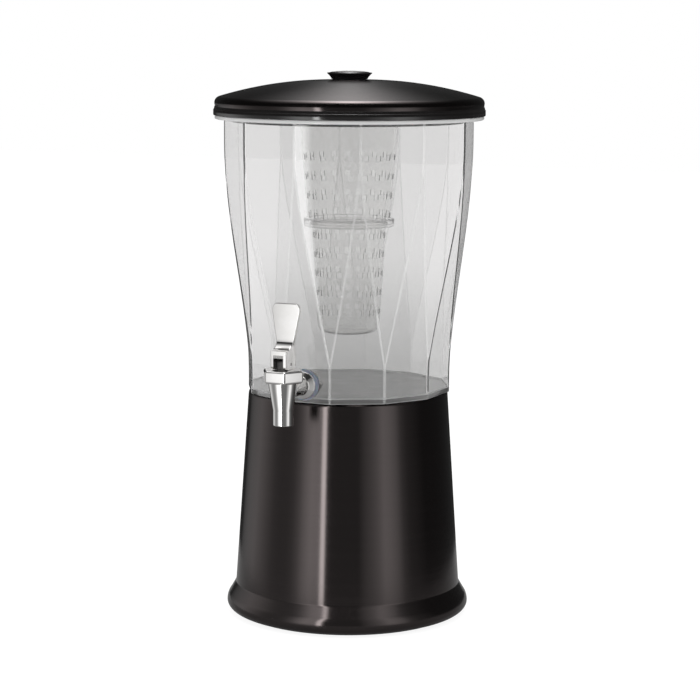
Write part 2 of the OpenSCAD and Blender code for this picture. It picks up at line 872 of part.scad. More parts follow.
// Flared knob with a recess for its cap and a blind hole for the screw
module knob() {
    flare_z = knob_z + knob_h - knob_rim_t;
    color("#1c1a1b")
        difference() {
            rotate_extrude()
                polygon(concat(
                    [[0, knob_z]],
                    arc([knob_high_r, knob_z], knob_high_r - knob_low_r, flare_z - knob_z, 180, 90),
                    [[knob_high_r, knob_z + knob_h], [0, knob_z + knob_h]]
                ));
            translate([0, 0, knob_z + knob_h - knob_cap_depth])
                cylinder(h = knob_cap_depth + over, r = knob_cap_r + slip);
            translate([0, 0, knob_z - over])
                cylinder(h = screw_grip + over + slip, r = screw_r + slip);
        }
}

// Domed cap set into the knob
module knob_cap() {
    low_z = knob_z + knob_h - knob_cap_depth;
    dome_h = knob_cap_depth + knob_cap_rise;
    color("#b5b0ae")
        rotate_extrude()
            polygon(concat(
                [[0, low_z], [knob_cap_r, low_z]],
                arc([0, low_z + knob_cap_depth], knob_cap_r, dome_h - knob_cap_depth, 0, 90)
            ));
}

// Screw from the recess up into the knob
module knob_screw() {
    color("#b8b8b8") {
        translate([0, 0, recess_z - screw_head_t])
            cylinder(h = screw_head_t, r = screw_head_r);
        translate([0, 0, recess_z - over])
            cylinder(h = knob_z + screw_grip - recess_z + over, r = screw_r);
    }
}

// Washer under the knob
module knob_washer() {
    color("#202020")
        ring(screw_r + slip, knob_washer_r, apex_z, knob_z);
}

// Infuser basket: bayonet neck, tapered wall with square holes, and a collar
module infuser_basket() {
    in_low = basket_low_r - basket_t;
    cup_hole_r = cup_top_r + lift_gap;
    color("#e4e9ec", 0.4)
        difference() {
            union() {
                rotate_extrude()
                    polygon([
                        [cup_hole_r, collar_z], [collar_r, collar_z], [collar_r, taper_z],
                        [basket_low_r, taper_z], [neck_out_r, neck_z], [neck_out_r, basket_top_z],
                        [neck_out_r - basket_t, basket_top_z], [neck_out_r - basket_t, neck_z],
                        [in_low, taper_z], [in_low, cup_seat_z], [cup_hole_r, cup_seat_z]
                    ]);
                ring_arcs(neck_out_r - over, recess_r - lug_gap, lug_z, lug_z + lug_t, lug_angle);
            }
            square_holes(basket_rows, taper_z + basket_first_row, neck_out_r + over);
        }
}

// Infuser cup: hangs by its flange on the lip in the collar
module infuser_cup() {
    path = concat(
        [[0, cup_z]],
        arc([cup_low_r - cup_round, cup_z + cup_round], cup_round, cup_round, -90, 0),
        [[cup_top_r, cup_flange_z]]
    );
    inner = moved_in(path, cup_t);
    top_z = cup_flange_z + cup_flange_t;
    flange = [
        [cup_top_r + cup_flange_in, cup_flange_z], [cup_top_r + cup_flange_in, top_z],
        [cup_top_r - cup_t, top_z]
    ];
    color("#e4e9ec", 0.4)
        difference() {
            rotate_extrude()
                polygon(concat(path, flange, reverse(inner)));
            square_holes(cup_rows, cup_z + cup_first_row, cup_top_r + over);
        }
}

base_shell();
foot_ring();
container();
outer_washer();
inner_washer();
shank_nut();
faucet_body();
bonnet_nut();
valve_spring();
valve_stem();
seat_cup();
lever_pin();
tap_lever();
lid_moulding();
lid_dome();
lid_gasket();
knob();
knob_cap();
knob_screw();
knob_washer();
infuser_basket();
infuser_cup();
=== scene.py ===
# %% [markdown]
# # A buffet drink dispenser, dressed for its portrait
# The CAD model already holds every piece of the dispenser at its real size.
# This lesson loads it, models fine versions of the pieces that show, gives each
# one its finish, and lights it like a product on a white table.

# %% Load the frame
import json
import math

import bpy
from mathutils import Euler, Matrix, Vector

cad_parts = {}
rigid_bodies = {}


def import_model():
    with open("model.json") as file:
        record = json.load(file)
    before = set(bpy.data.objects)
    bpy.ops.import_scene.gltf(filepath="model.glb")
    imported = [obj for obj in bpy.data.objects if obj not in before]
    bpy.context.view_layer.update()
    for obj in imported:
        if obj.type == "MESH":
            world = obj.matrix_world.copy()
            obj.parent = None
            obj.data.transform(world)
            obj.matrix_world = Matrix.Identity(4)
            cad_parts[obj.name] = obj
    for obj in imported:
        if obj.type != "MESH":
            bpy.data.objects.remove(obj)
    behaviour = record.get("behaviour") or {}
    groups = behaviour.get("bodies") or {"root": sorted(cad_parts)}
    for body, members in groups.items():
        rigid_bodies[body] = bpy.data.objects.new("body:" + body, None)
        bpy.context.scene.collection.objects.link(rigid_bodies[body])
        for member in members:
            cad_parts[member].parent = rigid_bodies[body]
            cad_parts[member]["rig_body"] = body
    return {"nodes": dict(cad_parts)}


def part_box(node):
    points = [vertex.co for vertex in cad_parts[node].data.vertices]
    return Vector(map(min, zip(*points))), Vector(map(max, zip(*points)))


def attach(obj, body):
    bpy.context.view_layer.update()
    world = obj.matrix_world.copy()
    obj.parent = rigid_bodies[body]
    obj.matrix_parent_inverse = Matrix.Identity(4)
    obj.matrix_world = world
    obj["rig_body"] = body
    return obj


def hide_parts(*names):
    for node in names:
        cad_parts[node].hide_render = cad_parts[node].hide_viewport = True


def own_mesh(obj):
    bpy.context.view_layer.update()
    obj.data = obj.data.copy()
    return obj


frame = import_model()
scene = bpy.context.scene
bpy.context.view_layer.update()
MM = 0.001

# %% [markdown]
# ## Camera
# The photographer stood about 2.4 m away with a long lens, a little above the
# tap, and looked down by some eight degrees. The tap faces -Y, so the camera
# stands 25 degrees round towards +X. A long lens keeps the sides nearly parallel.

# %% Place the camera
view_azimuth = math.radians(25)
view_pitch = math.radians(8.2)
view_roll = math.radians(0.27)
view_distance = 2.363
view_height = 0.6154
view_lens = 117.6
view_shift = (0.00236, 0.0011)

toward_camera = Vector((math.sin(view_azimuth), -math.cos(view_azimuth), 0))
right_of_camera = Vector((math.cos(view_azimuth), math.sin(view_azimuth), 0))
aim = Euler((math.pi / 2 - view_pitch, 0, view_azimuth)).to_matrix()
aim = aim @ Matrix.Rotation(view_roll, 3, "Z")
bpy.ops.object.camera_add(
    location=toward_camera * view_distance + Vector((0, 0, view_height)),
    rotation=aim.to_euler(),
)
camera = bpy.context.object
camera.name = "photo_camera"
camera.data.lens = view_lens
camera.data.shift_x, camera.data.shift_y = view_shift
scene.camera = camera
scene.view_settings.view_transform = "Standard"
print("camera at", [round(v, 3) for v in camera.location])

# %% [markdown]
# ## Small helpers
# Operators act on what is selected, so each piece starts with nothing selected. Every
# finish is a handful of shader nodes. One helper adds a node and sets its values, so
# that a finish reads as a short list.

# %% Helpers for modes
def edit_mode():
    """Opens the mesh of the active piece."""
    bpy.ops.object.mode_set(mode="EDIT")


def object_mode():
    """Closes the mesh again."""
    bpy.ops.object.mode_set(mode="OBJECT")


def start_clean():
    """Leaves edit mode and deselects everything, so that operators act on new work alone."""
    if bpy.context.object and bpy.context.object.mode != "OBJECT":
        object_mode()
    bpy.ops.object.select_all(action="DESELECT")


# %% Helpers for nodes
def add_node(tree, kind, inputs=None, **settings):
    """A new node with its settings, and values for its named or numbered inputs."""
    node = tree.nodes.new("ShaderNode" + kind)
    for name, value in settings.items():
        setattr(node, name, value)
    for name, value in (inputs or {}).items():
        if isinstance(value, bpy.types.NodeSocket):
            tree.links.new(value, node.inputs[name])
        else:
            node.inputs[name].default_value = value
    return node


def math_node(tree, operation, first, second=0.0):
    """The result of one Math node."""
    return add_node(tree, "Math", {0: first, 1: second}, operation=operation).outputs[0]


def ramp_between(tree, value, low, high, out_low, out_high, kind="SMOOTHSTEP"):
    """Maps a value from one range to another."""
    node = add_node(
        tree,
        "MapRange",
        {"Value": value, "From Min": low, "From Max": high, "To Min": out_low, "To Max": out_high},
        interpolation_type=kind,
    )
    return node.outputs["Result"]


def part_along(tree, spot, direction):
    """How far a spot lies along a direction."""
    return add_node(tree, "VectorMath", {0: spot, 1: direction}, operation="DOT_PRODUCT").outputs["Value"]


def bare_tree(block):
    """The empty node tree of a new material or world."""
    block.use_nodes = True
    block.node_tree.nodes.clear()
    return block.node_tree


print("node helpers ready")

# %% [markdown]
# ## Studio
# Polished metal looks like what stands round it. Here it shows upright bands: a strip
# light, a black gap in front of the camera and soft panels on both sides. They are
# painted on a round screen that only mirrors see. Its brightness follows the angle
# round the object, through a colour ramp.

# %% A round light screen
# Angle in degrees, counted from the camera to its right, and the brightness there
screen_bands = [
    (-180, 0.03), (-136, 0.04), (-124, 0.28), (-114, 0.5), (-102, 0.74), (-92, 0.64), (-83, 0.46),
    (-75, 0.3), (-67, 0.25), (-58, 0.26), (-52, 0.34), (-46, 0.6), (-41, 1.05), (-34, 1.5), (-28, 1.4),
    (-24.6, 1.3), (-23.8, 6.0), (-21, 6.0), (-20, 0.25), (-16, 0.16), (10, 0.16), (16, 0.36), (22, 0.52),
    (28, 0.74), (34, 1.1), (40, 1.0), (47, 0.72), (53, 0.32), (60, 0.17), (80, 0.06), (180, 0.03),
]
screen_r, screen_h = 0.4, 0.507

start_clean()
bpy.ops.mesh.primitive_circle_add(vertices=180, radius=screen_r)
screen = bpy.context.object
screen.name = "light_screen"
edit_mode()
bpy.ops.mesh.extrude_region_move(TRANSFORM_OT_translate={"value": (0, 0, screen_h)})
object_mode()
cloth = bpy.data.materials.new("screen_cloth")
tree = bare_tree(cloth)
spot = add_node(tree, "TexCoord").outputs["Object"]
beside = part_along(tree, spot, right_of_camera)
angle = math_node(tree, "ARCTAN2", beside, part_along(tree, spot, toward_camera))
ramp = add_node(tree, "ValToRGB", {"Fac": ramp_between(tree, angle, -math.pi, math.pi, 0.0, 1.0, "LINEAR")})
stops = ramp.color_ramp.elements
while len(stops) > 1:
    stops.remove(stops[-1])
for degrees, level in screen_bands:
    place = (degrees + 180) / 360
    stop = stops[0] if place == 0 else stops.new(place)
    stop.color = (level, level, level, 1)
light = add_node(tree, "Emission", {"Color": ramp.outputs["Color"]})
add_node(tree, "OutputMaterial", {"Surface": light.outputs[0]})
screen.data.materials.append(cloth)
for kind in ("camera", "diffuse", "transmission", "shadow"):
    setattr(screen, "visible_" + kind, False)
print("bands on the screen:", len(screen_bands))

# %% [markdown]
# The world does the rest. The camera, and what it sees through clear plastic, gets
# plain white paper. Dull surfaces are lit evenly from all round. Mirrors see a dark
# room with one long softbox, from low behind the object to right above it. It is a
# narrow fan there and wide overhead, which draws the bright streak on the dome.

# %% Paper, room and the softbox above
room_light, room_dark = 0.9, 0.03
fan_rise, fan_width = (0.35, 0.98), (0.032, 0.26)
fan_low, fan_levels = (0.15, 0.6), (0.12, 0.95)
fan_high, fan_peak = (0.6, 1.0), 8.5
fan_ends, fan_foot, fan_falloff = (0.0, 0.35), 0.04, -1.5

world = bpy.data.worlds.new("studio")
scene.world = world
sky = bare_tree(world)
way = add_node(sky, "TexCoord").outputs["Generated"]
ahead = part_along(sky, way, toward_camera)
aside = part_along(sky, way, right_of_camera)
height = add_node(sky, "SeparateXYZ", {"Vector": way}).outputs["Z"]
width = ramp_between(sky, height, *fan_rise, *fan_width, "LINEAR")
off_middle = math_node(sky, "DIVIDE", aside, width)
spread = math_node(sky, "ADD", math_node(sky, "MULTIPLY", off_middle, off_middle), 1.0)
bell = math_node(sky, "POWER", spread, fan_falloff)
level = math_node(
    sky, "ADD", ramp_between(sky, height, *fan_low, *fan_levels, "LINEAR"),
    ramp_between(sky, height, *fan_high, 0.0, fan_peak, "LINEAR"),
)
level = math_node(sky, "MULTIPLY", level, ramp_between(sky, ahead, *fan_ends, 1.0, 0.0))
level = math_node(sky, "MULTIPLY", level, ramp_between(sky, height, fan_foot, fan_low[0], 0.0, 1.0))
mirrored = math_node(sky, "ADD", math_node(sky, "MULTIPLY", level, bell), room_dark)
ray = add_node(sky, "LightPath").outputs
lit_or_mirrored = add_node(
    sky, "Mix", {"Factor": ray["Is Glossy Ray"], "A": room_light, "B": mirrored}, data_type="FLOAT"
)
seen = math_node(sky, "MAXIMUM", ray["Is Camera Ray"], ray["Is Transmission Ray"])
shown = add_node(sky, "Mix", {"Factor": seen, "A": lit_or_mirrored.outputs[0], "B": 1.0}, data_type="FLOAT")
paper_sky = add_node(sky, "Background", {"Color": shown.outputs[0]})
add_node(sky, "OutputWorld", {"Surface": paper_sky.outputs["Background"]})
print("world nodes:", len(sky.nodes))

# %% [markdown]
# The table is a white sheet. The camera sees it as bright as the paper behind: most
# of that is a glow of its own, and the rest is lit by the room and darkens under the
# object, so that a soft contact shadow stays. Dull surfaces get part of the glow from
# below, and mirrors on the object see the sheet much darker, as in the photo.

# %% Lay the table
table_size = 14
table_glow, table_glow_lit, table_glow_mirrored = 0.9, 0.55, 0.1
table_grey = (0.2, 0.2, 0.2, 1)
softbox_z, softbox_size, softbox_power = 1.7, 1.1, 9

start_clean()
bpy.ops.mesh.primitive_plane_add(size=table_size)
table = bpy.context.object
table.name = "table"
paper = bpy.data.materials.new("paper")
tree = bare_tree(paper)
lit = add_node(tree, "BsdfDiffuse", {"Color": table_grey})
ray = add_node(tree, "LightPath").outputs
seen = math_node(tree, "MAXIMUM", ray["Is Camera Ray"], ray["Is Transmission Ray"])
seen = math_node(tree, "MULTIPLY", seen, table_glow)
in_mirror = math_node(tree, "MULTIPLY", ray["Is Glossy Ray"], table_glow_mirrored)
on_dull = math_node(tree, "MULTIPLY", ray["Is Diffuse Ray"], table_glow_lit)
glow = math_node(tree, "MAXIMUM", math_node(tree, "MAXIMUM", seen, in_mirror), on_dull)
white = add_node(tree, "Emission", {"Strength": glow})
sheet = add_node(tree, "AddShader", {0: lit.outputs[0], 1: white.outputs[0]})
add_node(tree, "OutputMaterial", {"Surface": sheet.outputs[0]})
table.data.materials.append(paper)

bpy.ops.object.light_add(type="AREA", location=(0, 0, softbox_z))
softbox = bpy.context.object
softbox.name = "softbox_above"
softbox.data.shape = "DISK"
softbox.data.size = softbox_size
softbox.data.energy = softbox_power
softbox.visible_glossy = False
print("table and softbox ready")

# %% [markdown]
# ## Shared surface effects
# Two effects come back in several finishes, so each is a node group. The first is
# the fine line pattern that a brush leaves on metal turned in a lathe: noise on a
# cylinder, stretched round the axis. The second is the faint unevenness of a
# surface that is wiped and handled.

# %% Node group: brushed round the axis
def new_group(name, inputs, outputs):
    """An empty node group with float sockets; inputs are (name, default) pairs."""
    group = bpy.data.node_groups.new(name, "ShaderNodeTree")
    for socket, default in inputs:
        made = group.interface.new_socket(socket, in_out="INPUT", socket_type="NodeSocketFloat")
        made.default_value = default
    for socket in outputs:
        group.interface.new_socket(socket, in_out="OUTPUT", socket_type="NodeSocketFloat")
    start = group.nodes.new("NodeGroupInput")
    end = group.nodes.new("NodeGroupOutput")
    return group, start.outputs, end.inputs


brushed, given, made = new_group("brushed_round", [("Lines", 900.0), ("Sweep", 2.0)], ["Streak"])
spot = add_node(brushed, "TexCoord").outputs["Object"]
parts = add_node(brushed, "SeparateXYZ", {"Vector": spot}).outputs
flat = add_node(brushed, "CombineXYZ", {"X": parts["X"], "Y": parts["Y"]}).outputs[0]
reach = add_node(brushed, "VectorMath", {0: flat}, operation="LENGTH").outputs["Value"]
spoke = add_node(brushed, "VectorMath", {0: flat}, operation="NORMALIZE").outputs["Vector"]
swept = add_node(brushed, "VectorMath", {0: spoke, "Scale": given["Sweep"]}, operation="SCALE")
along = math_node(brushed, "SUBTRACT", parts["Z"], reach)
lines = math_node(brushed, "MULTIPLY", along, given["Lines"])
lift = add_node(brushed, "CombineXYZ", {"Z": lines}).outputs[0]
place = add_node(brushed, "VectorMath", {0: swept.outputs["Vector"], 1: lift}, operation="ADD")
grain = add_node(
    brushed, "TexNoise", {"Vector": place.outputs["Vector"], "Scale": 1.0, "Detail": 4.0, "Roughness": 0.65}
)
brushed.links.new(grain.outputs["Fac"], made["Streak"])

# %% Node group: wiped and handled
wiped, given, made = new_group("wiped", [("Size", 18.0)], ["Smear"])
spot = add_node(wiped, "TexCoord").outputs["Object"]
cloud = add_node(wiped, "TexNoise", {"Vector": spot, "Scale": given["Size"], "Detail": 5.0, "Roughness": 0.6})
smear = ramp_between(wiped, cloud.outputs["Fac"], 0.35, 0.7, 0.0, 1.0)
wiped.links.new(smear, made["Smear"])
print("node groups:", [g.name for g in bpy.data.node_groups])

# %% [markdown]
# ## Finishes
# Each finish is one material with its own Principled shader. What is the same all
# over is set on the shader itself, and what varies comes from the groups.

# %% Helper for finishes
def new_finish(name, **values):
    """A material whose Principled shader has these socket values."""
    finish = bpy.data.materials.new(name)
    finish.use_nodes = True
    shader = finish.node_tree.nodes["Principled BSDF"]
    for socket, value in values.items():
        shader.inputs[socket.replace("_", " ")].default_value = value
    return finish, finish.node_tree, shader


def use_group(tree, group, **values):
    """A node group placed in a material; returns its first output."""
    node = add_node(tree, "Group", node_tree=group)
    for socket, value in values.items():
        node.inputs[socket].default_value = value
    return node.outputs[0]


def feed(tree, shader, socket, value):
    """Links a value to one socket of the shader."""
    tree.links.new(value, shader.inputs[socket])


def mixed(tree, share, first, second):
    """A colour between two, by a share."""
    node = add_node(tree, "Mix", {"Factor": share, 6: (*first, 1), 7: (*second, 1)}, data_type="RGBA")
    return node.outputs[2]


def bumped(tree, shader, value, strength, distance):
    """A fine relief on the normal."""
    node = add_node(tree, "Bump", {"Height": value, "Strength": strength, "Distance": distance})
    feed(tree, shader, "Normal", node.outputs["Normal"])


def masked_finish(name, group, setting, dark, light, roughness, span=(0.0, 1.0), relief=None, **values):
    """A material whose colour, roughness and relief all follow one node group."""
    finish, tree, shader = new_finish(name, **values)
    mask = use_group(tree, group, **setting)
    feed(tree, shader, "Base Color", mixed(tree, mask, dark, light))
    feed(tree, shader, "Roughness", ramp_between(tree, mask, *span, *roughness))
    if relief:
        bumped(tree, shader, mask, *relief)
    return finish


brush_span = (0.3, 0.7)

# %% Dark brushed metal of the stand and the dome
onyx, tree, shader = new_finish("onyx_metal", Metallic=1.0, Anisotropic=0.85, Anisotropic_Rotation=0.25)
streak = use_group(tree, brushed, Lines=1500.0, Sweep=1.6)
smear = use_group(tree, wiped, Size=14.0)
feed(tree, shader, "Base Color", mixed(tree, streak, (0.07, 0.0605, 0.0595), (0.092, 0.08, 0.079)))
brush_rough = ramp_between(tree, streak, *brush_span, 0.13, 0.18)
hand_rough = ramp_between(tree, smear, 0.0, 1.0, 0.0, 0.02)
feed(tree, shader, "Roughness", math_node(tree, "ADD", brush_rough, hand_rough))
bumped(tree, shader, streak, 0.05, 0.0002)
ring_way = add_node(tree, "Tangent", direction_type="RADIAL", axis="Z")
feed(tree, shader, "Tangent", ring_way.outputs["Tangent"])

# %% Black moulded plastic of the lid band and the knob
black = masked_finish(
    "black_plastic", wiped, {"Size": 22.0}, (0.0105, 0.0095, 0.0095), (0.0145, 0.0132, 0.0132), (0.07, 0.12),
    Specular_IOR_Level=0.7, IOR=1.6,
)

# %% Clear plastic of the container, with painted shade and a painted reflection
# Its tint is painted greyer low down, a painted shade, and lighter where the wall is seen
# at a glancing angle, a painted reflection of the bright room.
painted_shade_low_z, painted_shade_high_z = 0.245, 0.40
clear_container, tree, shader = new_finish("clear_container", Transmission_Weight=1.0, IOR=1.5)
smear = use_group(tree, wiped, Size=9.0)
feed(tree, shader, "Roughness", ramp_between(tree, smear, 0.0, 1.0, 0.0, 0.015))
spot = add_node(tree, "TexCoord").outputs["Object"]
rise = add_node(tree, "SeparateXYZ", {"Vector": spot}).outputs["Z"]
# Painted shade: greyer low down, fading upwards
painted_shade_fade = ramp_between(tree, rise, painted_shade_low_z, painted_shade_high_z, 0.0, 0.52)
# Painted reflection: lighter where the wall is seen at a glancing angle
painted_reflection_slant = add_node(tree, "LayerWeight", {"Blend": 0.5}).outputs["Facing"]
painted_reflection_slant = ramp_between(tree, painted_reflection_slant, 0.05, 0.6, 0.0, 1.0, "LINEAR")
light = add_node(tree, "Math", {0: painted_shade_fade, 1: painted_reflection_slant}, operation="ADD", use_clamp=True).outputs[0]
# The base colour carries the painted shade and the painted reflection
feed(tree, shader, "Base Color", mixed(tree, light, (0.6, 0.6, 0.597), (0.93, 0.925, 0.925)))

# %% Plastic with painted light: a painted highlight on the container's edges, and painted white light on the rim and the floor
# These finishes scatter light instead of letting it all through, a painted highlight on the edges. The thick
# rim and floor, and the sides of the infuser's holes, scatter most of it, as painted white light there.
def painted_light_plastic(name, clearness):
    """Plastic that lets a share of the light straight through and scatters the rest, as painted light."""
    return masked_finish(
        name, wiped, {"Size": 30.0}, (0.94, 0.94, 0.935), (0.98, 0.98, 0.975), (0.15, 0.25),
        Transmission_Weight=clearness, IOR=1.5,
    )


painted_edge_highlight = painted_light_plastic("painted_edge_highlight_plastic", 0.74)
painted_light_milky = painted_light_plastic("painted_light_milky_plastic", 0.2)

# %% Clear plastic of the infuser
clear_infuser = masked_finish(
    "clear_infuser", wiped, {"Size": 16.0}, (0.92, 0.92, 0.915), (0.945, 0.945, 0.94), (0.01, 0.04),
    Transmission_Weight=1.0, IOR=1.5,
)

# %% Polished chrome of the tap
chrome = masked_finish(
    "chrome", wiped, {"Size": 60.0}, (0.84, 0.83, 0.815), (0.88, 0.87, 0.86), (0.045, 0.09), Metallic=1.0
)

# %% Translucent silicone of the washers and the gasket
silicone = masked_finish(
    "silicone", wiped, {"Size": 120.0}, (0.56, 0.63, 0.78), (0.66, 0.72, 0.84), (0.3, 0.45),
    Transmission_Weight=0.55, IOR=1.41, Subsurface_Weight=0.4, Subsurface_Scale=0.004,
)

# %% Turned steel of the small fittings, and steel painted dark for the stem, a painted shade in the fork
lathe = {"Lines": 2600.0, "Sweep": 3.0}
steel = masked_finish(
    "steel", brushed, lathe, (0.5, 0.49, 0.48), (0.66, 0.65, 0.64), (0.22, 0.36), brush_span, Metallic=1.0
)
painted_shade_steel = masked_finish(
    "painted_shade_steel", brushed, lathe, (0.06, 0.058, 0.056), (0.11, 0.107, 0.104), (0.25, 0.4), brush_span,
    Metallic=1.0,
)

# %% Satin disc on the knob
satin = masked_finish(
    "satin_cap", brushed, {"Lines": 3200.0, "Sweep": 2.0}, (0.36, 0.35, 0.345), (0.5, 0.485, 0.48),
    (0.25, 0.38), brush_span, relief=(0.1, 0.0002), Metallic=1.0,
)

# %% Rubber of the foot ring
rubber = masked_finish(
    "rubber", wiped, {"Size": 70.0}, (0.017, 0.017, 0.017), (0.03, 0.03, 0.03), (0.55, 0.75),
    relief=(0.15, 0.0004), Specular_IOR_Level=0.3,
)
print("materials:", len(bpy.data.materials))

# %% [markdown]
# ## Turning profiles on a lathe
# Most pieces are round, so they are modelled as a turner would: draw half of the
# section as a line, then spin it. The line starts as one point that is extruded
# from place to place. A corner of the section carries its own rounding.

# %% Helpers for turned pieces
def pick(piece):
    """Makes one piece the active one, with nothing else selected."""
    start_clean()
    bpy.context.view_layer.objects.active = piece
    piece.select_set(True)


def settle():
    """Moves the place, turn and size of the active piece into its mesh."""
    bpy.ops.object.transform_apply(location=True, rotation=True, scale=True)


def arc(centre, rx, rz, first, last, bits=12):
    """Points along an arc, in degrees; the two radii may differ."""
    angles = [math.radians(first + (last - first) * i / bits) for i in range(bits + 1)]
    return [(centre[0] + rx * math.cos(a), centre[1] + rz * math.sin(a)) for a in angles]


def soften(corners, bits=5):
    """A closed outline with an arc at each corner; a corner is (r, z, rounding) in mm."""
    outline = []
    for i, (r, z, rounding) in enumerate(corners):
        here = Vector((r, z))
        back = Vector(corners[i - 1][:2]) - here
        ahead = Vector(corners[(i + 1) % len(corners)][:2]) - here
        if rounding == 0:
            outline.append((r, z))
            continue
        half = back.angle(ahead) / 2
        cut = min(rounding / math.tan(half), 0.49 * back.length, 0.49 * ahead.length)
        start = here + back.normalized() * cut
        middle = here + (back.normalized() + ahead.normalized()).normalized() * cut / math.cos(half)
        spoke = start - middle
        swing = back.normalized().angle_signed(ahead.normalized())
        sweep = -math.copysign(math.pi - 2 * half, swing)
        for k in range(bits + 1):
            turned = Matrix.Rotation(-sweep * k / bits, 2) @ spoke
            outline.append(tuple(middle + turned))
    return outline


def sheet_outline(path, thickness):
    """The closed section of a sheet on the left of a path, with mitred corners."""
    points = [Vector(p) for p in path]
    steps = [(b - a).normalized() for a, b in zip(points, points[1:])]
    rights = [Vector((s.y, -s.x)) for s in steps]
    moved = []
    for i, point in enumerate(points):
        before = rights[max(i - 1, 0)]
        after = rights[min(i, len(rights) - 1)]
        mitre = (before + after).normalized()
        moved.append(tuple(point - mitre * thickness / mitre.dot(before)))
    return path + moved[::-1]


def draw_profile(name, outline, place):
    """One point, extruded along the outline; place turns (r, z) in mm into a position in metres."""
    start_clean()
    bpy.ops.mesh.primitive_plane_add(size=MM, location=place(*outline[0]))
    piece = bpy.context.object
    settle()
    piece.name = piece.data.name = name
    edit_mode()
    bpy.ops.mesh.merge(type="CENTER")
    for before, after in zip(outline, outline[1:]):
        step = place(*after) - place(*before)
        bpy.ops.mesh.extrude_region_move(TRANSFORM_OT_translate={"value": step})
    return piece


def close_up(crease):
    """Merges the seams of the mesh in edit mode, points its faces outwards and shades it."""
    bpy.ops.mesh.select_all(action="SELECT")
    bpy.ops.mesh.remove_doubles(threshold=0.01 * MM)
    bpy.ops.mesh.dissolve_degenerate(threshold=0.001 * MM)
    bpy.ops.mesh.normals_make_consistent(inside=False)
    object_mode()
    bpy.ops.object.shade_smooth_by_angle(angle=math.radians(crease))


def even_normals(piece):
    """Lets the broad faces rule the shading, so that flats stay flat beside small rounds."""
    pick(piece)
    weights = piece.modifiers.new("normals", "WEIGHTED_NORMAL")
    weights.keep_sharp = True
    bpy.ops.object.modifier_apply(modifier=weights.name)


# A section that is closed on the axis starts a hair off it, so that its spin leaves a point
on_axis = 0.01


def spin_all(steps, angle=math.tau, centre=(0, 0, 0), axis=(0, 0, 1)):
    """Spins everything in the open mesh round an axis."""
    bpy.ops.mesh.select_all(action="SELECT")
    bpy.ops.mesh.spin(steps=steps, angle=angle, center=centre, axis=axis)


def turned(name, outline, steps=144, axis=(0, 0, 1), centre=(0, 0, 0), crease=32):
    """A closed outline of (r, z) in mm, spun into a solid round an axis through centre, in metres."""
    def place(r, z):
        return Vector(centre) + Vector((1, 0, 0)) * (r * MM) + Vector(axis) * (z * MM)

    piece = draw_profile(name, outline + outline[:1], place)
    spin_all(steps, centre=centre, axis=axis)
    close_up(crease)
    return piece


def dress(piece, *finishes):
    """Gives a piece its finishes; faces take the first one unless they are told otherwise."""
    for finish in finishes:
        piece.data.materials.append(finish)
    return piece


def seat(piece, node, finish):
    """Gives a piece its finish, and lets it stand for a CAD node and move with that node's body."""
    if not piece.data.materials:
        dress(piece, finish)
    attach(piece, frame["nodes"][node]["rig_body"])
    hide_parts(node)
    print(piece.name, "stands for", node, "with", len(piece.data.polygons), "faces")
    return piece


# %% [markdown]
# ## Stand
# The stand is one sheet of steel, spun over a form: a hem and a rolled bead at the
# foot, a straight cone, and a ledge with a turned-down hole. In the CAD model the
# container has a skirt that sits in this hole; it is left out of the container below.
# The next line is the outer face of the sheet, and the sheet lies inside it.

# %% Stand
stand_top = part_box("base_shell")[1].z / MM
bead_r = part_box("base_shell")[1].x / MM
foot_r, foot_z, bead_z, bead_round = 113, 1.5, 11, 16
bead_top_z, cone_low_r, cone_top_r, shoulder_r = 31, 117.4, 104, 4
hole_r, hem_h, hem_w, stand_sheet = 88, 8, 5, 1.6

round_end = math.degrees(math.asin((bead_top_z - bead_z) / bead_round / 2))
stand_path = [(foot_r - hem_w, foot_z)]
stand_path += arc((foot_r, bead_z), bead_r - foot_r, bead_z - foot_z, -90, 0, 20)
stand_path += arc((bead_r - bead_round, bead_z), bead_round, bead_round, round_end / 12, round_end, 12)
stand_path += [(cone_low_r + 0.5, bead_top_z - 0.7), (cone_low_r, bead_top_z)]
stand_path += [(cone_low_r - 0.1, bead_top_z + 0.8)]
stand_path += arc((cone_top_r - shoulder_r, stand_top - shoulder_r), shoulder_r, shoulder_r, 4, 90, 10)
stand_path += [(hole_r + 1.6, stand_top), (hole_r + 0.5, stand_top - 0.4), (hole_r, stand_top - 1.6)]
stand_path += [(hole_r, stand_top - hem_h)]
stand = turned("stand", sheet_outline(stand_path, stand_sheet), steps=192)
seat(stand, "base_shell", onyx)

# %% [markdown]
# ## Container
# Twelve upright sides at the foot, and twelve at the rim, half a side out of step.
# In between, each corner of the foot splits in two, and the halves meet again under
# the rim, so that tall pointed facets lean against each other. Rings of points are
# added at many heights and bridged, as a loft: up the outside, over the rim and
# down the inside.

# %% Container: where its outline lies
vessel_low = stand_top
low_r, high_r, sides = 106.3, 129.0, 12
straight_h, facet_h, neck_h, rim_h = 36, 215, 28, 6
flare_lead, flare_lag, facet_power = 21, 9, 1.45
wall, floor_h, rim_r, mouth_r = 3.2, 4.0, 138.5, 120.5
edge_flat = 1.5
edge_round = 1.1
points_per_side = 4
side_half = 180 / sides
facet_top = straight_h + facet_h
rim_low = facet_top + neck_h
lip_low = rim_low + 2
vessel_h = rim_low + rim_h


def smooth_step(u):
    """A soft rise from 0 to 1."""
    u = min(max(u, 0), 1)
    return u * u * (3 - 2 * u)


def corner_radius(h):
    """Radius of the corners at height h over the foot of the container."""
    start, end = straight_h - flare_lead, facet_top + flare_lag
    return low_r + (high_r - low_r) * smooth_step((h - start) / (end - start))


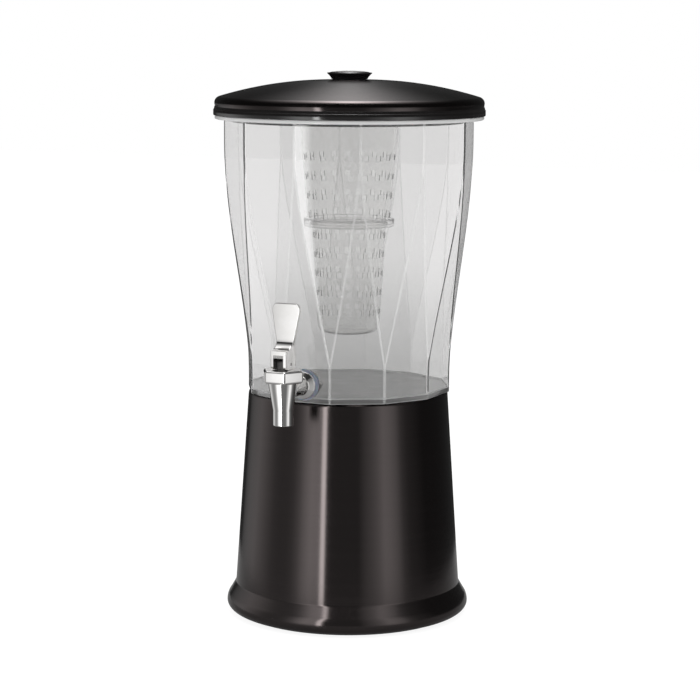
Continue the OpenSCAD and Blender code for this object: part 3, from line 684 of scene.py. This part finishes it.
def facet_ring(h, inset):
    """Points round the outline at height h, inset from the outer face; each corner is a small round."""
    r = corner_radius(h) - inset / math.cos(math.radians(side_half))
    share = min(max((h - straight_h) / facet_h, 0), 1)
    flat = math.degrees(math.asin(edge_flat / 2 / r))
    split = side_half * (1 - (1 - share) ** facet_power)
    split = min(max(split, flat), side_half - flat)
    angles = []
    for k in range(sides):
        angles += [side_half * (2 * k + 1) - split, side_half * (2 * k + 1) + split]
    corners = [Vector((math.sin(math.radians(a)), -math.cos(math.radians(a)), 0)) * r for a in angles]
    rounds = []
    for i, corner in enumerate(corners):
        back = corners[i - 1] - corner
        ahead = corners[(i + 1) % len(corners)] - corner
        trim = min(edge_round, 0.4 * back.length, 0.4 * ahead.length)
        first = corner + back.normalized() * trim
        last = corner + ahead.normalized() * trim
        rounds.append((first, (corner * 2 + first + last) / 4, last))
    ring = []
    for (first, middle, last), (following, _, _) in zip(rounds, rounds[1:] + rounds[:1]):
        ring += [first, middle] + [last.lerp(following, i / points_per_side) for i in range(points_per_side)]
    return [Vector((p.x, p.y, vessel_low + h)) * MM for p in ring]


def round_ring(h, r):
    """The same number of points on a circle, at the angles of the outline under the rim."""
    return [Vector((p.x, p.y, 0)).normalized() * (r * MM) + Vector((0, 0, (vessel_low + h) * MM))
            for p in facet_ring(rim_low, 0)]


# %% Container: the rings, from the floor up the outside and down the inside
wall_heights = [straight_h * i / 4 for i in range(1, 4)]
wall_heights += [straight_h + facet_h * i / 48 for i in range(49)]
wall_heights += [facet_top + neck_h * i / 4 for i in range(1, 4)]
foot_rounding = 1.0
rings = [facet_ring(0, foot_rounding), facet_ring(foot_rounding * 0.3, foot_rounding * 0.3)]
rings += [facet_ring(foot_rounding, 0)]
rings += [facet_ring(h, 0) for h in wall_heights]
rings += [facet_ring(lip_low - 0.8, 0), facet_ring(lip_low, -0.8)]
# Two rings on one plane can be bridged the wrong way round, so the rim's flats tilt by a hair
rim_section = [
    (lip_low + 0.05, rim_r - 0.8), (lip_low + 0.3, rim_r - 0.2), (lip_low + 1, rim_r),
    (vessel_h - 1, rim_r), (vessel_h - 0.3, rim_r - 0.3), (vessel_h - 0.05, rim_r - 1),
    (vessel_h, mouth_r + 0.8), (vessel_h - 0.3, mouth_r + 0.2), (vessel_h - 0.9, mouth_r),
    (lip_low + 0.6, mouth_r),
]
rings += [round_ring(h, r) for h, r in rim_section]
rings += [facet_ring(h, wall) for h in [lip_low - 0.2] + wall_heights[::-1]]
floor_rounding = 2.0
rings += [facet_ring(floor_h + floor_rounding, wall)]
rings += [facet_ring(floor_h + floor_rounding * 0.3, wall + floor_rounding * 0.3)]
rings += [facet_ring(floor_h, wall + floor_rounding)]


def select_edges(piece, wanted):
    """In edit mode, selects the edges that pass a test."""
    edit_mode()
    bpy.ops.mesh.select_mode(type="EDGE")
    bpy.ops.mesh.select_all(action="DESELECT")
    object_mode()
    for edge in piece.data.edges:
        edge.select = wanted(edge)
    edit_mode()


def bridged(name, rings, crease):
    """A closed loft through rings of equally many points; its end closes on the ring before the last."""
    start_clean()
    count = len(rings[0])
    bpy.ops.mesh.primitive_circle_add(vertices=count, radius=1)
    piece = bpy.context.object
    piece.name = piece.data.name = name
    edit_mode()
    for _ in rings[1:]:
        bpy.ops.mesh.primitive_circle_add(vertices=count, radius=1)
    object_mode()
    for vertex, spot in zip(piece.data.vertices, (p for ring in rings for p in ring)):
        vertex.co = spot
    for i in range(len(rings) - 1):
        select_edges(piece, lambda edge: [v // count for v in edge.vertices] in ([i, i], [i + 1, i + 1]))
        bpy.ops.mesh.bridge_edge_loops()
    for end in (0, len(rings) - 1):
        object_mode()
        for edge in piece.data.edges:
            edge.select = all(v // count == end for v in edge.vertices)
        edit_mode()
        bpy.ops.mesh.edge_face_add()
    bpy.ops.mesh.select_mode(type="VERT")
    close_up(crease)
    return piece


vessel = bridged("vessel", rings, crease=14)
even_normals(vessel)

# %% Container: clear walls, edges with a painted highlight, and rim and floor with painted light
ring_count = len(rings[0])
first_wall, last_wall = 3, 3 + len(wall_heights)
dress(vessel, clear_container, painted_edge_highlight, painted_light_milky)
for face in vessel.data.polygons:
    spot = face.center / MM
    h, r = spot.z - vessel_low, math.hypot(spot.x, spot.y)
    places = [divmod(v, ring_count) for v in face.vertices]
    edge_places = [ring for ring, place in places if place % (points_per_side + 2) == 1]
    on_edge = any(first_wall <= ring <= last_wall for ring in edge_places)
    on_rim = h > lip_low - 0.5 and r > high_r
    on_floor = abs(h - floor_h) < floor_rounding and face.normal.z > 0.3
    # Slot 1 paints a highlight on the edges, slot 2 paints white light on the rim and the floor
    face.material_index = 2 if on_rim or on_floor else 1 if on_edge else 0
print("frosted and milky faces:", sum(face.material_index > 0 for face in vessel.data.polygons))
seat(vessel, "container", clear_container)

# %% [markdown]
# ## Tap
# The barrel is turned on an upright axis and the neck on the axis of the shank. A
# Boolean joins the two, and a second one drills the waterway from the container to
# the valve chamber.

# %% Helpers for joining and cutting
def combine(piece, tool, operation):
    """A Boolean of two solids, applied; the tool is used up."""
    pick(piece)
    step = piece.modifiers.new("combine", "BOOLEAN")
    step.object = tool
    step.operation = operation
    step.solver = "EXACT"
    bpy.ops.object.modifier_apply(modifier=step.name)
    bpy.data.objects.remove(tool, do_unlink=True)
    return piece


def join(first, *others):
    """Several meshes as one object."""
    start_clean()
    for piece in (first, *others):
        piece.select_set(True)
    bpy.context.view_layer.objects.active = first
    bpy.ops.object.join()
    return first


def shade(piece, crease):
    """Smooth shading up to a crease angle, in degrees."""
    pick(piece)
    bpy.ops.object.shade_smooth_by_angle(angle=math.radians(crease))


# %% Tap barrel, neck, flange and shank
bonnet_half, fit_gap = 19, 0.12
tap_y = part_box("bonnet_nut")[0].y / MM + bonnet_half
shank_z = 254
spout_z, straight_z, barrel_z, spigot_z, seat_z = 220, 235, 263, 271, 243
outlet_r, spout_r, barrel_r, spigot_r, chamber_r = 6.5, 10.2, 15, 13, 8.2
tap_axis = (0, tap_y * MM, 0)
barrel_section = soften([
    (outlet_r, spout_z, 0.6), (spout_r, spout_z, 0.9), (spout_r, straight_z, 3), (barrel_r, barrel_z, 0.8),
    (spigot_r, barrel_z, 0), (spigot_r, spigot_z, 0.5), (chamber_r, spigot_z, 0.5), (chamber_r, seat_z, 0),
    (outlet_r, seat_z, 0),
])
barrel = turned("tap_barrel", barrel_section, steps=96, centre=tap_axis)

flange_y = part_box("outer_washer")[0].y / MM
shank_end_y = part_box("faucet_body")[1].y / MM
bore_r, neck_r, flange_r, shank_r, waterway_r = 4, 9, 14.2, 8, 5.4
shank_axis = {"axis": (0, 1, 0), "centre": (0, 0, shank_z * MM)}
neck_section = soften([
    (bore_r, tap_y + neck_r, 0), (neck_r, tap_y + neck_r, 0), (neck_r, flange_y - 8, 2.5),
    (flange_r, flange_y - 4, 1.2), (flange_r, flange_y, 0.6), (shank_r, flange_y, 0),
    (shank_r, shank_end_y, 0.6), (bore_r, shank_end_y, 0),
])
neck = turned("tap_neck", neck_section, steps=96, **shank_axis)
tap = combine(barrel, neck, "UNION")
past_end_y = shank_end_y + 1
waterway_section = [(on_axis, tap_y), (waterway_r, tap_y), (waterway_r, past_end_y), (on_axis, past_end_y)]
waterway = turned("waterway", waterway_section, steps=48, **shank_axis)
tap = combine(tap, waterway, "DIFFERENCE")
shade(tap, 32)
tap.name = "tap"
seat(tap, "faucet_body", chrome)

# %% [markdown]
# The bonnet is a hexagon with pillow-soft corners: a six-sided cylinder whose upright
# edges are bevelled first, then the rims. A stepped drill is meant to open it for the
# barrel's spigot and for the stem, but the finished mesh is still solid there.

# %% Bonnet
bonnet_low, bonnet_high = (v.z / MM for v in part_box("bonnet_nut"))
corner_r = bonnet_half / math.cos(math.pi / 6)
corner_round, edge_bevel, stem_hole_r = 1.6, 3.0, 4.3
start_clean()
bpy.ops.mesh.primitive_cylinder_add(
    vertices=6, radius=corner_r * MM, depth=(bonnet_high - bonnet_low) * MM,
    location=(0, tap_y * MM, (bonnet_low + bonnet_high) / 2 * MM), rotation=(0, 0, math.pi / 6),
)
bonnet = bpy.context.object
bonnet.name = "bonnet"
settle()


def rise(edge):
    """Difference in height between the ends of an edge of the bonnet."""
    first, last = (bonnet.data.vertices[v].co.z for v in edge.vertices)
    return abs(first - last)


select_edges(bonnet, lambda edge: rise(edge) > MM)
bpy.ops.mesh.bevel(offset=corner_round * MM, segments=4, affect="EDGES")
select_edges(bonnet, lambda edge: rise(edge) < 0.01 * MM)
bpy.ops.mesh.bevel(offset=edge_bevel * MM, segments=6, affect="EDGES")
object_mode()
spigot_hole_r, spigot_hole_z = spigot_r + fit_gap, spigot_z + fit_gap
drill_section = [
    (on_axis, bonnet_low - 1), (spigot_hole_r, bonnet_low - 1), (spigot_hole_r, spigot_hole_z),
    (stem_hole_r, spigot_hole_z), (stem_hole_r, bonnet_high + 1), (on_axis, bonnet_high + 1),
]
drill = turned("bonnet_drill", drill_section, steps=64, centre=tap_axis)
bonnet = combine(bonnet, drill, "DIFFERENCE")
shade(bonnet, 35)
even_normals(bonnet)
seat(bonnet, "bonnet_nut", chrome)

# %% [markdown]
# The lever is lofted from foot to tip through rounded rectangles. From the side it
# has a cam heel, a ledge and a thin paddle set back; from the front a straight fork
# that flares into the paddle. Each height gives one section, and the loft bridges
# them. The fork's slot and the pin hole are cut afterwards.

# %% Lever: its outline from the side and from the front
pin_z = 281.4
heel, cam_lift, cam_swing, heel_round = 5.1, 6, 40, 3.8
fork_w, fork_d, fork_up = 17.2, 22.4, 13.6
paddle_w, paddle_up, paddle_corner, paddle_t = 30.6, 59.6, 6.5, 2.8
paddle_back, paddle_lean, waist_t = 7.6, 2, 5
ledge_curve_h, back_slope_h, paddle_start, paddle_bow = 12, 8, 4, 1.15
lever_round, slot_half, slot_low, slot_up, pin_hole_r = 0.9, 5.45, 7, 9.6, 1.66


def paddle_share(z):
    """0 at the tip of the paddle and 1 at the fork."""
    return (paddle_up - z) / (paddle_up - fork_up)


def paddle_faces(z):
    """Front and back of the paddle at height z over the pin."""
    middle = paddle_back - paddle_lean * paddle_share(z)
    half = (paddle_t + (waist_t - paddle_t) * paddle_share(z)) / 2
    return middle - half, middle + half


def cam_face(z):
    """Front of the cam heel at height z."""
    cam = []
    for i in range(21):
        a = math.radians(cam_swing * i / 20)
        h = heel + cam_lift * a
        cam.append((-h * math.sin(a) - cam_lift * math.cos(a), -h * math.cos(a) + cam_lift * math.sin(a)))
    cam.append((-fork_d / 2, cam[-1][1] + 1))
    for (y0, z0), (y1, z1) in zip(cam, cam[1:]):
        if z0 <= z <= z1:
            return y0 + (y1 - y0) * (z - z0) / (z1 - z0)
    return -fork_d / 2


def lever_depth(z):
    """Front and back of the lever at height z."""
    half = fork_d / 2
    front, back = cam_face(z), half
    if z < heel_round - heel:
        drop = heel_round - heel - z
        back = half - heel_round + math.sqrt(max(heel_round ** 2 - drop ** 2, 0))
    if z > fork_up:
        front_end = paddle_faces(fork_up + ledge_curve_h)[0]
        share = max(fork_up + ledge_curve_h - z, 0) / ledge_curve_h
        front = -half + (front_end + half) * math.sqrt(1 - share ** 2)
        slope_end = paddle_faces(fork_up + back_slope_h)[1]
        back = half + (slope_end - half) * min((z - fork_up) / back_slope_h, 1)
    if z > fork_up + ledge_curve_h:
        front, back = paddle_faces(z)
    tip = paddle_t / 2
    if z > paddle_up - tip:
        rise = min((z - paddle_up + tip) / tip, 0.999)
        front = paddle_back - tip * math.sqrt(1 - rise ** 2)
        back = paddle_back + tip * math.sqrt(1 - rise ** 2)
    return front, back


def lever_half_width(z):
    """Half of the lever's width at height z."""
    low, high = fork_up + paddle_start, paddle_up - paddle_corner
    share = min(max((z - low) / (high - low), 0), 1)
    half = (fork_w + (paddle_w - fork_w) * (1 - (1 - share) ** paddle_bow)) / 2
    if z > high:
        rise = min((z - high) / paddle_corner, 1)
        half -= paddle_corner * (1 - math.sqrt(max(1 - rise ** 2, 0)))
    return half


def lever_section(z):
    """A rounded rectangle at height z, as points round it in metres."""
    front, back = lever_depth(z)
    half = lever_half_width(z)
    rounding = min(lever_round, 0.46 * (back - front))
    section = []
    for x_side, y_side, first in ((1, 1, 0), (-1, 1, 90), (-1, -1, 180), (1, -1, 270)):
        middle = (x_side * (half - rounding), (back - rounding) if y_side > 0 else (front + rounding))
        section += arc(middle, rounding, rounding, first, first + 90, 4)
    return [Vector((x, tap_y + y, pin_z + z)) * MM for x, y in section]


# %% Lever: the loft, the slot and the pin hole
heights = [-heel + 0.02, -heel + 0.12, -heel + 0.35, -heel + 0.8, -heel + 1.4, -heel + 2.1, -heel + 3]
heights += [i * 1.5 - 1.3 for i in range(10)] + [fork_up - 0.5, fork_up - 0.02]
heights += [fork_up + ledge_curve_h * (1 - math.cos(math.radians(9 * i))) for i in range(1, 11)]
paddle_low, paddle_high = fork_up + ledge_curve_h, paddle_up - paddle_corner
heights += [paddle_low + (paddle_high - paddle_low) * i / 10 for i in range(1, 11)]
heights += [paddle_high + (paddle_corner - 0.02) * math.sin(math.radians(9 * i)) for i in range(1, 11)]
lever = bridged("lever", [lever_section(z) for z in heights], crease=30)
slot_middle = Vector((0, tap_y, pin_z + (slot_up - slot_low) / 2))
slot_size = Vector((2 * slot_half, 2 * fork_d, slot_up + slot_low))
start_clean()
bpy.ops.mesh.primitive_cube_add(size=1, location=slot_middle * MM, scale=slot_size * MM)
settle()
lever = combine(lever, bpy.context.object, "DIFFERENCE")
start_clean()
bpy.ops.mesh.primitive_cylinder_add(
    vertices=32, radius=pin_hole_r * MM, depth=2 * fork_w * MM, location=(0, tap_y * MM, pin_z * MM),
    rotation=(0, math.pi / 2, 0),
)
settle()
lever = combine(lever, bpy.context.object, "DIFFERENCE")
shade(lever, 30)
even_normals(lever)
seat(lever, "tap_lever", chrome)

# %% [markdown]
# A soft washer seals the flange against the wall. Its rim bulges a little, as a
# squeezed ring does.

# %% Washer outside the wall
wall_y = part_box("outer_washer")[1].y / MM
washer_in_r, washer_out_r = shank_r + fit_gap, 16
washer_section = soften([
    (washer_in_r, flange_y, 0.3), (washer_out_r, flange_y, 1.2),
    (washer_out_r, wall_y, 1.2), (washer_in_r, wall_y, 0.3),
])
washer = turned("washer", washer_section, steps=72, **shank_axis)
seat(washer, "outer_washer", silicone)

# %% [markdown]
# ## Lid
# The dome is one more spun sheet: a short straight edge, a tight round, and a crown
# that flattens towards the knob. The moulding under it shows as a black band. Three
# ledges under its roof hold the bayonet lugs of the infuser, and each ledge is the
# same section spun through a part of a turn.

# %% Dome
screw_hole_r = 1.92
rim_z = vessel_low + vessel_h
band_z = rim_z + 8.7
dome_r, dome_skirt_h, dome_edge_r, crown_power, pad_r, dome_sheet = 138.9, 3.6, 7, 2.0, 20, 1.4
apex_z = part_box("lid_dome")[1].z / MM
dome_edge_z = band_z + dome_skirt_h
crown_slope = math.atan(crown_power * (apex_z - dome_edge_z - dome_edge_r) / dome_r)
crown_r = dome_r - dome_edge_r * (1 - math.sin(crown_slope))
crown_h = apex_z - dome_edge_z - dome_edge_r * math.cos(crown_slope)
dome_path = [(dome_r - 0.6, band_z)]
edge_end = 90 - math.degrees(crown_slope)
dome_path += arc((dome_r - dome_edge_r, dome_edge_z), dome_edge_r, dome_edge_r, 0, edge_end, 12)
for i in range(1, 37):
    share = 1 - i / 36
    dome_path.append((pad_r + (crown_r - pad_r) * share, apex_z - crown_h * share ** crown_power))
dome_path.append((screw_hole_r, apex_z))
dome = turned("dome", sheet_outline(dome_path, dome_sheet), steps=192)
seat(dome, "lid_dome", onyx)

# %% Moulding with its band, plug, recess and ledges
plug_r, plug_t, plug_z, floor_z = 119.6, 2.4, rim_z - 7, rim_z + 2.5
recess_r, recess_z, cup_r = 53.6, rim_z + 12, 56.0
curb_r, curb_w = dome_r - 0.6 - dome_sheet - fit_gap, 5.4
boss_z = apex_z - dome_sheet
groove_low, groove_high, groove_r = plug_z + 2, plug_z + 5, plug_r - 0.8
band_r, band_step, band_top_r, boss_r = 140, 5.8, 139.3, 7
curb_z, roof_z = band_z + 2.6, recess_z + 2.5
moulding_section = soften([
    (screw_hole_r, recess_z, 0), (recess_r, recess_z, 0.8), (recess_r, plug_z, 0.4), (cup_r, plug_z, 0.8),
    (cup_r, rim_z, 0.6), (plug_r - plug_t, rim_z, 0.8), (plug_r - plug_t, plug_z, 0.6), (plug_r, plug_z, 0.8),
    (plug_r, groove_low, 0), (groove_r, groove_low, 0), (groove_r, groove_high, 0), (plug_r, groove_high, 0),
    (plug_r, rim_z, 0), (band_r, rim_z, 0.6), (band_r, rim_z + band_step, 0.4),
    (band_top_r, rim_z + band_step + 0.5, 0.2), (band_top_r - 0.4, band_z, 0.3),
    (curb_r, band_z, 0), (curb_r, curb_z, 0.5), (curb_r - curb_w, curb_z, 0.5),
    (curb_r - curb_w, floor_z, 0.5), (cup_r, floor_z, 0.5), (cup_r, roof_z, 0.8), (boss_r, roof_z, 0.5),
    (boss_r, boss_z, 0), (screw_hole_r, boss_z, 0),
], bits=4)
moulding = turned("lid_band", moulding_section, steps=192)


def ring_part(name, r_in, r_out, low, high, middle, width):
    """A piece of a ring: a section spun through a part of a turn and capped, angles in degrees.

    The spin runs clockwise, so the piece ends half its width short of middle instead of lying round it.
    """
    section = [(r_in, low), (r_out, low), (r_out, high), (r_in, high)]
    spoke = Matrix.Rotation(math.radians(middle - width / 2), 3, "Z") @ Vector((1, 0, 0))
    piece = draw_profile(name, section, lambda r, z: (spoke * r + Vector((0, 0, z))) * MM)
    bpy.ops.mesh.select_all(action="SELECT")
    bpy.ops.mesh.edge_face_add()
    spin_all(24, math.radians(width))
    close_up(32)
    return piece


thirds, ledge_r, ledge_width = (0, 120, 240), 51.0, 50
for middle in thirds:
    ledge = ring_part("ledge", ledge_r, recess_r + 0.8, groove_low, groove_high, middle, ledge_width)
    moulding = join(moulding, ledge)
seat(moulding, "lid_moulding", black)

# %% Knob and its disc
knob_z, knob_h = apex_z + 0.8, 6.4
knob_low_r, knob_high_r, knob_rim, disc_r, disc_depth = 18.7, 23.1, 0.8, 20.6, 1.2
flare_power, disc_rise, screw_up = 1.5, 1.8, 4.1
knob_top = knob_z + knob_h
flare = []
for i in range(17):
    share = i / 16
    flare_r = knob_low_r + (knob_high_r - knob_low_r) * share ** flare_power
    flare.append((flare_r, knob_z + (knob_h - knob_rim) * share))
knob_section = [(screw_hole_r, knob_z)] + flare
knob_section += arc((knob_high_r - 0.4, knob_top - 0.4), 0.4, 0.4, -20, 90, 6)
disc_low, disc_seat_r = knob_top - disc_depth, disc_r + fit_gap
knob_section += [(disc_seat_r, knob_top), (disc_seat_r, disc_low), (on_axis, disc_low)]
knob_section += [(on_axis, knob_z + screw_up), (screw_hole_r, knob_z + screw_up)]
knob = turned("knob", knob_section, steps=128)
seat(knob, "knob", black)

satin_r = 17.8
disc_section = [(on_axis, disc_low), (disc_r, disc_low), (disc_r, knob_top - 0.1)]
disc_section += arc((0, knob_top), disc_r, disc_rise, 3, 89.9, 24)
disc = turned("knob_disc", disc_section, steps=128)
dress(disc, satin, black)
for face in disc.data.polygons:
    face.material_index = 1 if math.hypot(face.center.x, face.center.y) > satin_r * MM else 0
seat(disc, "knob_cap", satin)

# %% [markdown]
# ## Infuser
# Basket and cup are thin walls with rows of square holes. The wall is spun as a
# single skin whose points lie at the edges of every hole, the faces in the holes are
# deleted, and Solidify gives the skin its thickness, so each hole gets sides painted white, as painted light.

# %% Helper for pierced walls
def pierced(name, path, steps, rows, hole_h, columns, thickness):
    """A spun skin with square holes three steps wide, made solid on its inner side."""
    piece = draw_profile(name, path, lambda r, z: Vector((r, 0, z)) * MM)
    spin_all(steps)
    bpy.ops.mesh.select_all(action="SELECT")
    bpy.ops.mesh.remove_doubles(threshold=0.01 * MM)
    bpy.ops.mesh.select_mode(type="FACE")
    bpy.ops.mesh.select_all(action="DESELECT")
    object_mode()
    pitch = steps // columns
    for face in piece.data.polygons:
        spot = face.center / MM
        step = int(math.degrees(math.atan2(spot.y, spot.x)) % 360 * steps / 360)
        in_row = any(abs(spot.z - z) < hole_h / 4 for z in rows)
        face.select = in_row and step % pitch in (pitch // 2 - 1, pitch // 2, pitch // 2 + 1)
    edit_mode()
    bpy.ops.mesh.delete(type="FACE")
    bpy.ops.mesh.select_mode(type="VERT")
    bpy.ops.mesh.select_all(action="SELECT")
    bpy.ops.mesh.normals_make_consistent(inside=False)
    half_step = math.pi / steps
    bpy.ops.transform.rotate(value=half_step, orient_axis="Z", center_override=(0, 0, 0))
    object_mode()
    dress(piece, clear_infuser, painted_light_milky)
    skin = piece.modifiers.new("thickness", "SOLIDIFY")
    skin.thickness = thickness * MM
    skin.offset = -1
    skin.use_even_offset = True
    # The sides of the holes take the plastic with painted light, which paints them white
    skin.material_offset_rim = 1
    bpy.ops.object.modifier_apply(modifier=skin.name)
    bpy.ops.object.shade_smooth_by_angle(angle=math.radians(30))
    return piece


def with_rows(start, end, rows, hole_h):
    """Points on a straight wall from start to end, with a pair at the edges of each row of holes."""
    levels = sorted(z + side * hole_h / 2 for z in rows for side in (-1, 1))
    if end[1] < start[1]:
        levels.reverse()
    slope = (end[0] - start[0]) / (end[1] - start[1])
    return [start] + [(start[0] + slope * (z - start[1]), z) for z in levels] + [end]


# %% Basket
hole_columns, infuser_wall = 20, 1.2
basket_top, neck_z, taper_z, collar_z = 527, 506, 414, 406
neck_out, basket_low_r, collar_r, hole_h, row_pitch = 50.4, 42.8, 46.6, 5.7, 19.8
basket_rows = [taper_z + 4.2 + row_pitch * k for k in range(4)]
basket_path = [(neck_out, basket_top)]
basket_path += with_rows((neck_out, neck_z), (basket_low_r, taper_z), basket_rows, hole_h)
basket = pierced("basket", basket_path, 160, basket_rows, hole_h, hole_columns, infuser_wall)
cup_hole_r, cup_seat_r, cup_seat_z = 38.8, 40.8, 409
collar_section = soften([
    (cup_hole_r, collar_z, 0.5), (collar_r, collar_z, 1.2), (collar_r, taper_z, 1.2),
    (cup_seat_r, taper_z, 0.3), (cup_seat_r, cup_seat_z, 0.2), (cup_hole_r, cup_seat_z, 0.3),
])
collar = turned("collar", collar_section, steps=128)
basket = join(basket, dress(collar, clear_infuser))
lug_r, lug_low, lug_high, lug_width = 53.0, 518.3, 521.3, 44
for middle in thirds:
    lug = ring_part("lug", neck_out - 1, lug_r, lug_low, lug_high, middle, lug_width)
    basket = join(basket, dress(lug, clear_infuser))
seat(basket, "infuser_basket", clear_infuser)

# %% Cup
cup_z, flange_z, cup_low_r, cup_top_r, cup_round = 295.3, 409.3, 32, 38.4, 9
cup_rows = [cup_z + 22.8 + row_pitch * k for k in range(5)]
cup_path = [(0, cup_z)] + arc((cup_low_r - cup_round, cup_z + cup_round), cup_round, cup_round, -90, 0, 10)
cup_path += with_rows((cup_low_r, cup_z + cup_round), (cup_top_r, flange_z), cup_rows, hole_h)[1:]
cup = pierced("cup", cup_path, 120, cup_rows, hole_h, hole_columns, infuser_wall)
flange_in_r, flange_out_r, flange_top = 36.6, 40, flange_z + 2.5
flange_section = soften([
    (flange_in_r, flange_z, 0.2), (flange_out_r, flange_z, 0.4),
    (flange_out_r, flange_top, 0.8), (flange_in_r, flange_top, 0.6),
])
cup_flange = turned("cup_flange", flange_section, steps=128)
cup = join(cup, dress(cup_flange, clear_infuser))
seat(cup, "infuser_cup", clear_infuser)

# %% [markdown]
# ## The pieces that keep their CAD shape
# Small fittings look right as they are. They only take the finishes made above.

# %% Dress the remaining CAD nodes
kept = {
    "foot_ring": rubber, "knob_washer": rubber,
    "inner_washer": silicone, "seat_cup": silicone, "lid_gasket": silicone,
    # The stem's steel is painted dark, a painted shade in the fork's slot
    "shank_nut": steel, "valve_spring": steel, "valve_stem": painted_shade_steel, "lever_pin": steel,
    "knob_screw": steel,
}
for node, finish in kept.items():
    for material_slot in frame["nodes"][node].material_slots:
        material_slot.material = finish
    print(node, "keeps its CAD shape, in", finish.name)

# %% [markdown]
# The valve spring sits between the bonnet and the stem. Its upper end stays where it is,
# and the rising stem pushes the lower end up, so the real coil shortens by the stem's travel.
# Here the spring only gets a mesh of its own and is not shortened.

# %% Give the spring a mesh of its own
spring = frame["nodes"]["valve_spring"]
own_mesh(spring)
